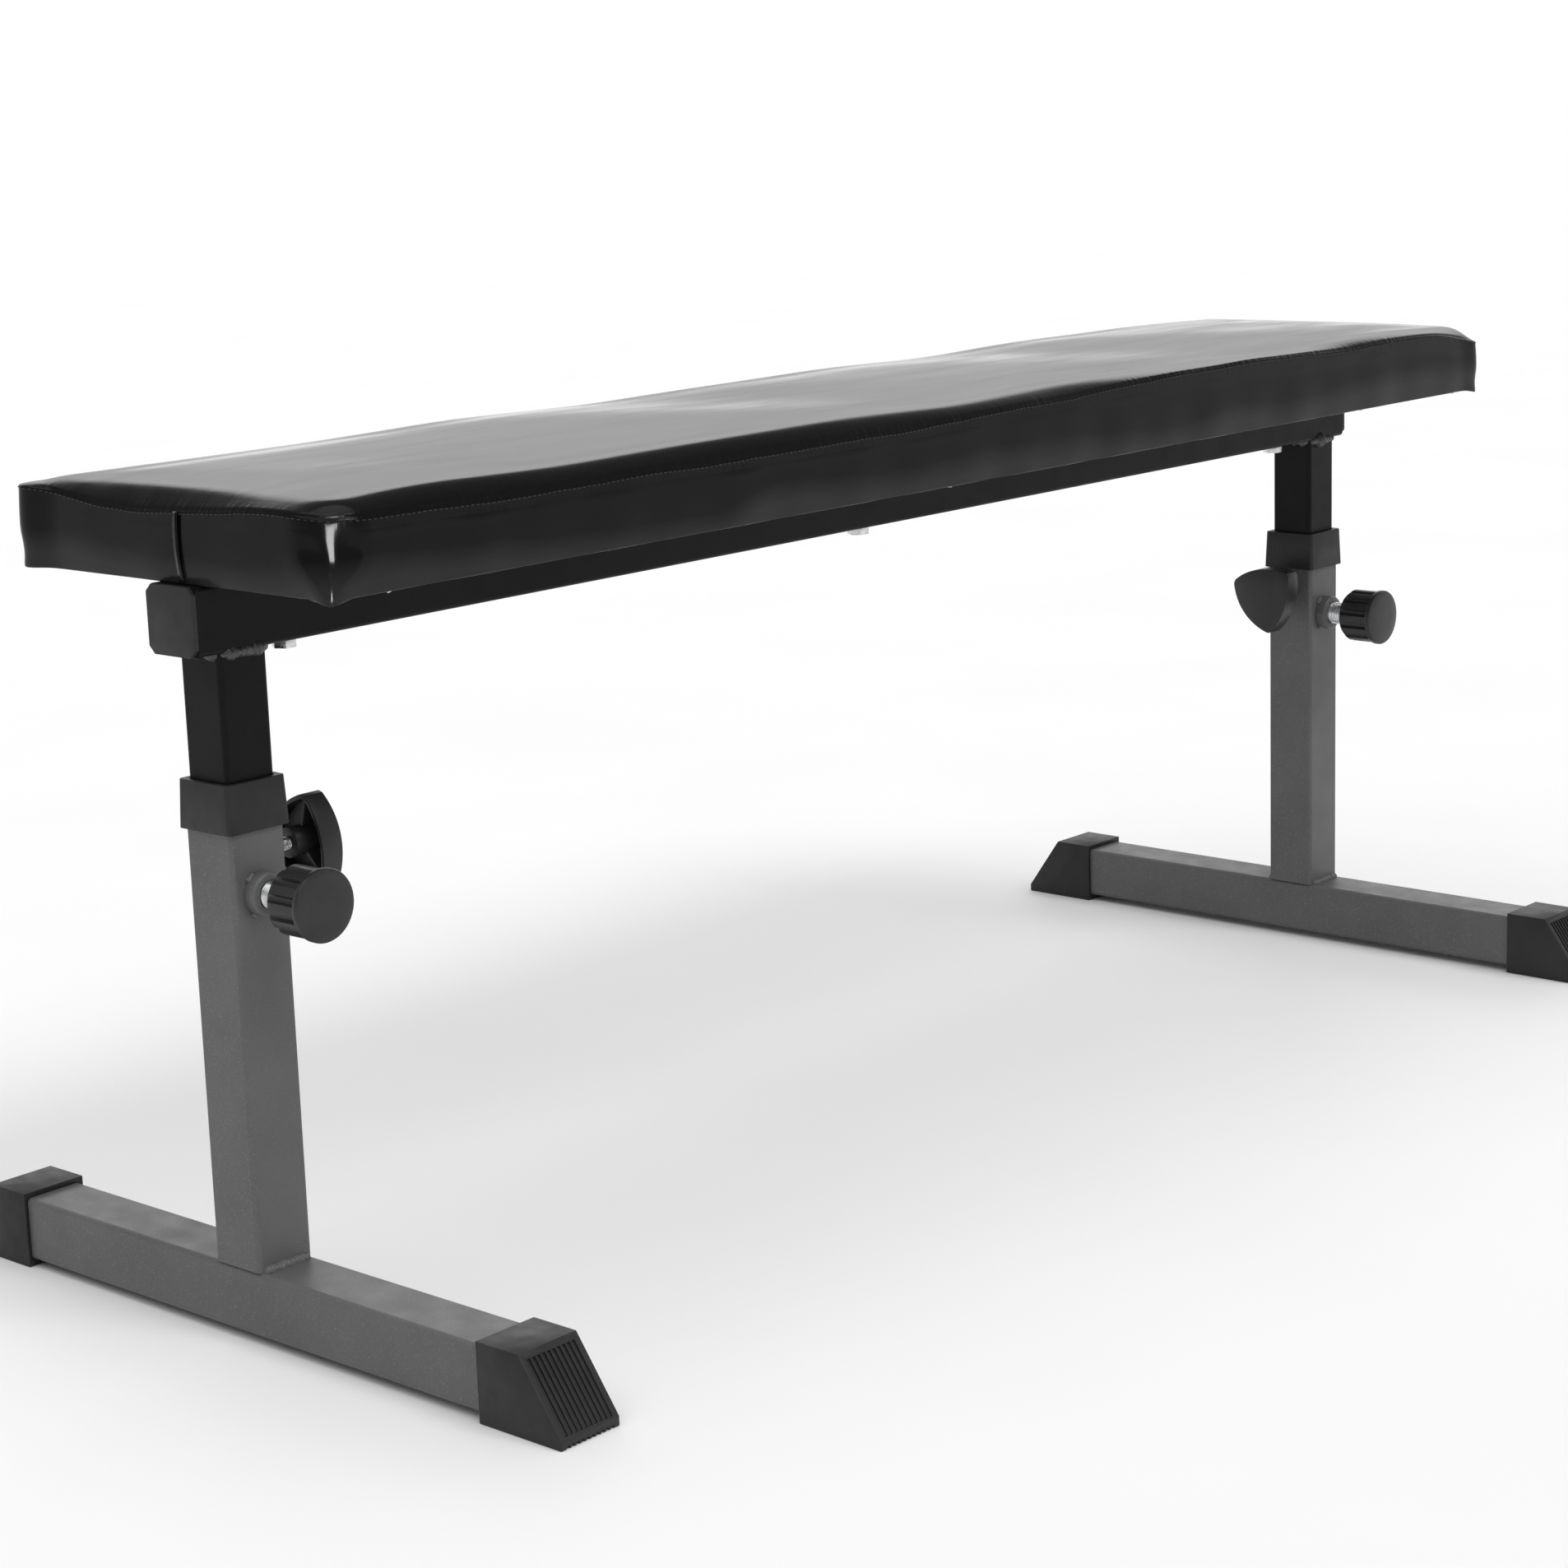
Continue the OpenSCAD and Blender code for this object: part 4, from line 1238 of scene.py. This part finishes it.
def make_sky():
    """A dim room with a bright haze low down all round and a lit backdrop behind the bench."""
    world = bpy.data.worlds.new("studio")
    world.use_nodes = True
    bpy.context.scene.world = world
    tree = world.node_tree
    direction = tree.nodes.new("ShaderNodeTexCoord").outputs["Generated"]
    height = add_node(tree, "ShaderNodeSeparateXYZ", {"Vector": direction}).outputs["Z"]

    def spread(value, between, at_low, at_high):
        inputs = {
            "Value": value, "From Min": between[0], "From Max": between[1],
            "To Min": at_low, "To Max": at_high,
        }
        node = add_node(tree, "ShaderNodeMapRange", inputs, interpolation_type="SMOOTHSTEP")
        return node.outputs["Result"]

    def combine(operation, first, second):
        inputs = {0: first, 1: second}
        return add_node(tree, "ShaderNodeMath", inputs, operation=operation).outputs["Value"]

    def rise(angles, at_low, at_high):
        return spread(height, [math.sin(angle) for angle in angles], at_low, at_high)

    heading = (math.cos(CAMERA_HEADING), math.sin(CAMERA_HEADING), 0)
    towards = add_node(tree, "ShaderNodeVectorMath", {0: direction, 1: heading}, operation="DOT_PRODUCT")
    behind = spread(towards.outputs["Value"], BACKDROP_SIDES, 0, 1)
    foot = HORIZON_GLOW - SIDE_GLOW
    wash = rise(BACKDROP_FOOT, foot, foot + BACKDROP_GLOW)
    band = rise(BACKDROP_TOP, 1, 0)
    room = rise(BACKDROP_TOP, SIDE_GLOW, CEILING_GLOW)
    haze = rise(HAZE_TOP, HAZE_GLOW - SIDE_GLOW, 0)
    backdrop = combine("MULTIPLY", wash, combine("MULTIPLY", band, behind))
    glow = combine("ADD", combine("ADD", room, haze), backdrop)
    background = tree.nodes["Background"]
    background.inputs["Color"].default_value = (1, 1, 1, 1)
    tree.links.new(glow, background.inputs["Strength"])


def make_lights():
    """A broad soft light overhead and a smaller one, high up on the pull pins' side."""
    for name, energy, spread, towards in SUNS:
        sun = bpy.data.lights.new(name, "SUN")
        sun.energy = energy
        sun.angle = math.radians(spread)
        lamp = add_object(name, sun)
        lamp.rotation_euler = Vector(towards).to_track_quat("Z", "Y").to_euler()


def make_glint(*receivers):
    """The small panel whose reflection shows in the vinyl at the pad's near front corner."""
    panel = bpy.data.lights.new("glint", "AREA")
    panel.shape = "RECTANGLE"
    panel.size, panel.size_y = GLINT_SIZE
    panel.energy = GLINT_WATTS
    lamp = add_object("glint", panel)
    lamp.location = GLINT_PLACE
    lamp.rotation_euler = (GLINT_PLACE - GLINT_TARGET).to_track_quat("Z", "Y").to_euler()
    lamp.visible_camera = False
    lamp.visible_diffuse = False
    lit = bpy.data.collections.new("glint_receivers")
    for piece in receivers:
        lit.objects.link(piece)
    lamp.light_linking.receiver_collection = lit


def make_camera():
    camera = add_object("camera", bpy.data.cameras.new("camera"))
    camera.data.lens = CAMERA_LENS_MM
    camera.data.clip_end = 200
    ahead = Vector((
        math.cos(CAMERA_HEADING) * math.cos(CAMERA_DOWN),
        math.sin(CAMERA_HEADING) * math.cos(CAMERA_DOWN),
        -math.sin(CAMERA_DOWN),
    ))
    right = ahead.cross(Vector((0, 0, 1))).normalized()
    up = right.cross(ahead)
    rolled_right = math.cos(CAMERA_ROLL) * right + math.sin(CAMERA_ROLL) * up
    rolled_up = rolled_right.cross(ahead)
    turn = Matrix((rolled_right, rolled_up, -ahead)).transposed().to_4x4()
    camera.matrix_world = Matrix.Translation(CAMERA_PLACE) @ turn
    bpy.context.scene.camera = camera


# ---- build ----

bpy.context.scene.view_settings.view_transform = "Standard"
make_camera()
make_stage()
make_sky()
make_lights()
finish_cad_nodes()
soften_parts()
for seed, side in enumerate(SIDES):
    make_sleeve(side)
    make_clamp_screw(side)
    make_pull_knob(side)
    make_spring(side)
    make_foot_weld(side, 1.3 + 11 * seed)
    make_post_weld(side, 4.1 + 13 * seed)
    make_boss_tacks(side, 7.9 + 17 * seed)
cushion, seam_line, hem_line = make_cushion()
make_glint(cushion)
cushion_surface = surface_of(cushion)
make_stitches(cushion_surface, seam_line)
make_lap_seam(cushion_surface)
make_staples(hem_line)
make_pleats()
make_dust_cover()
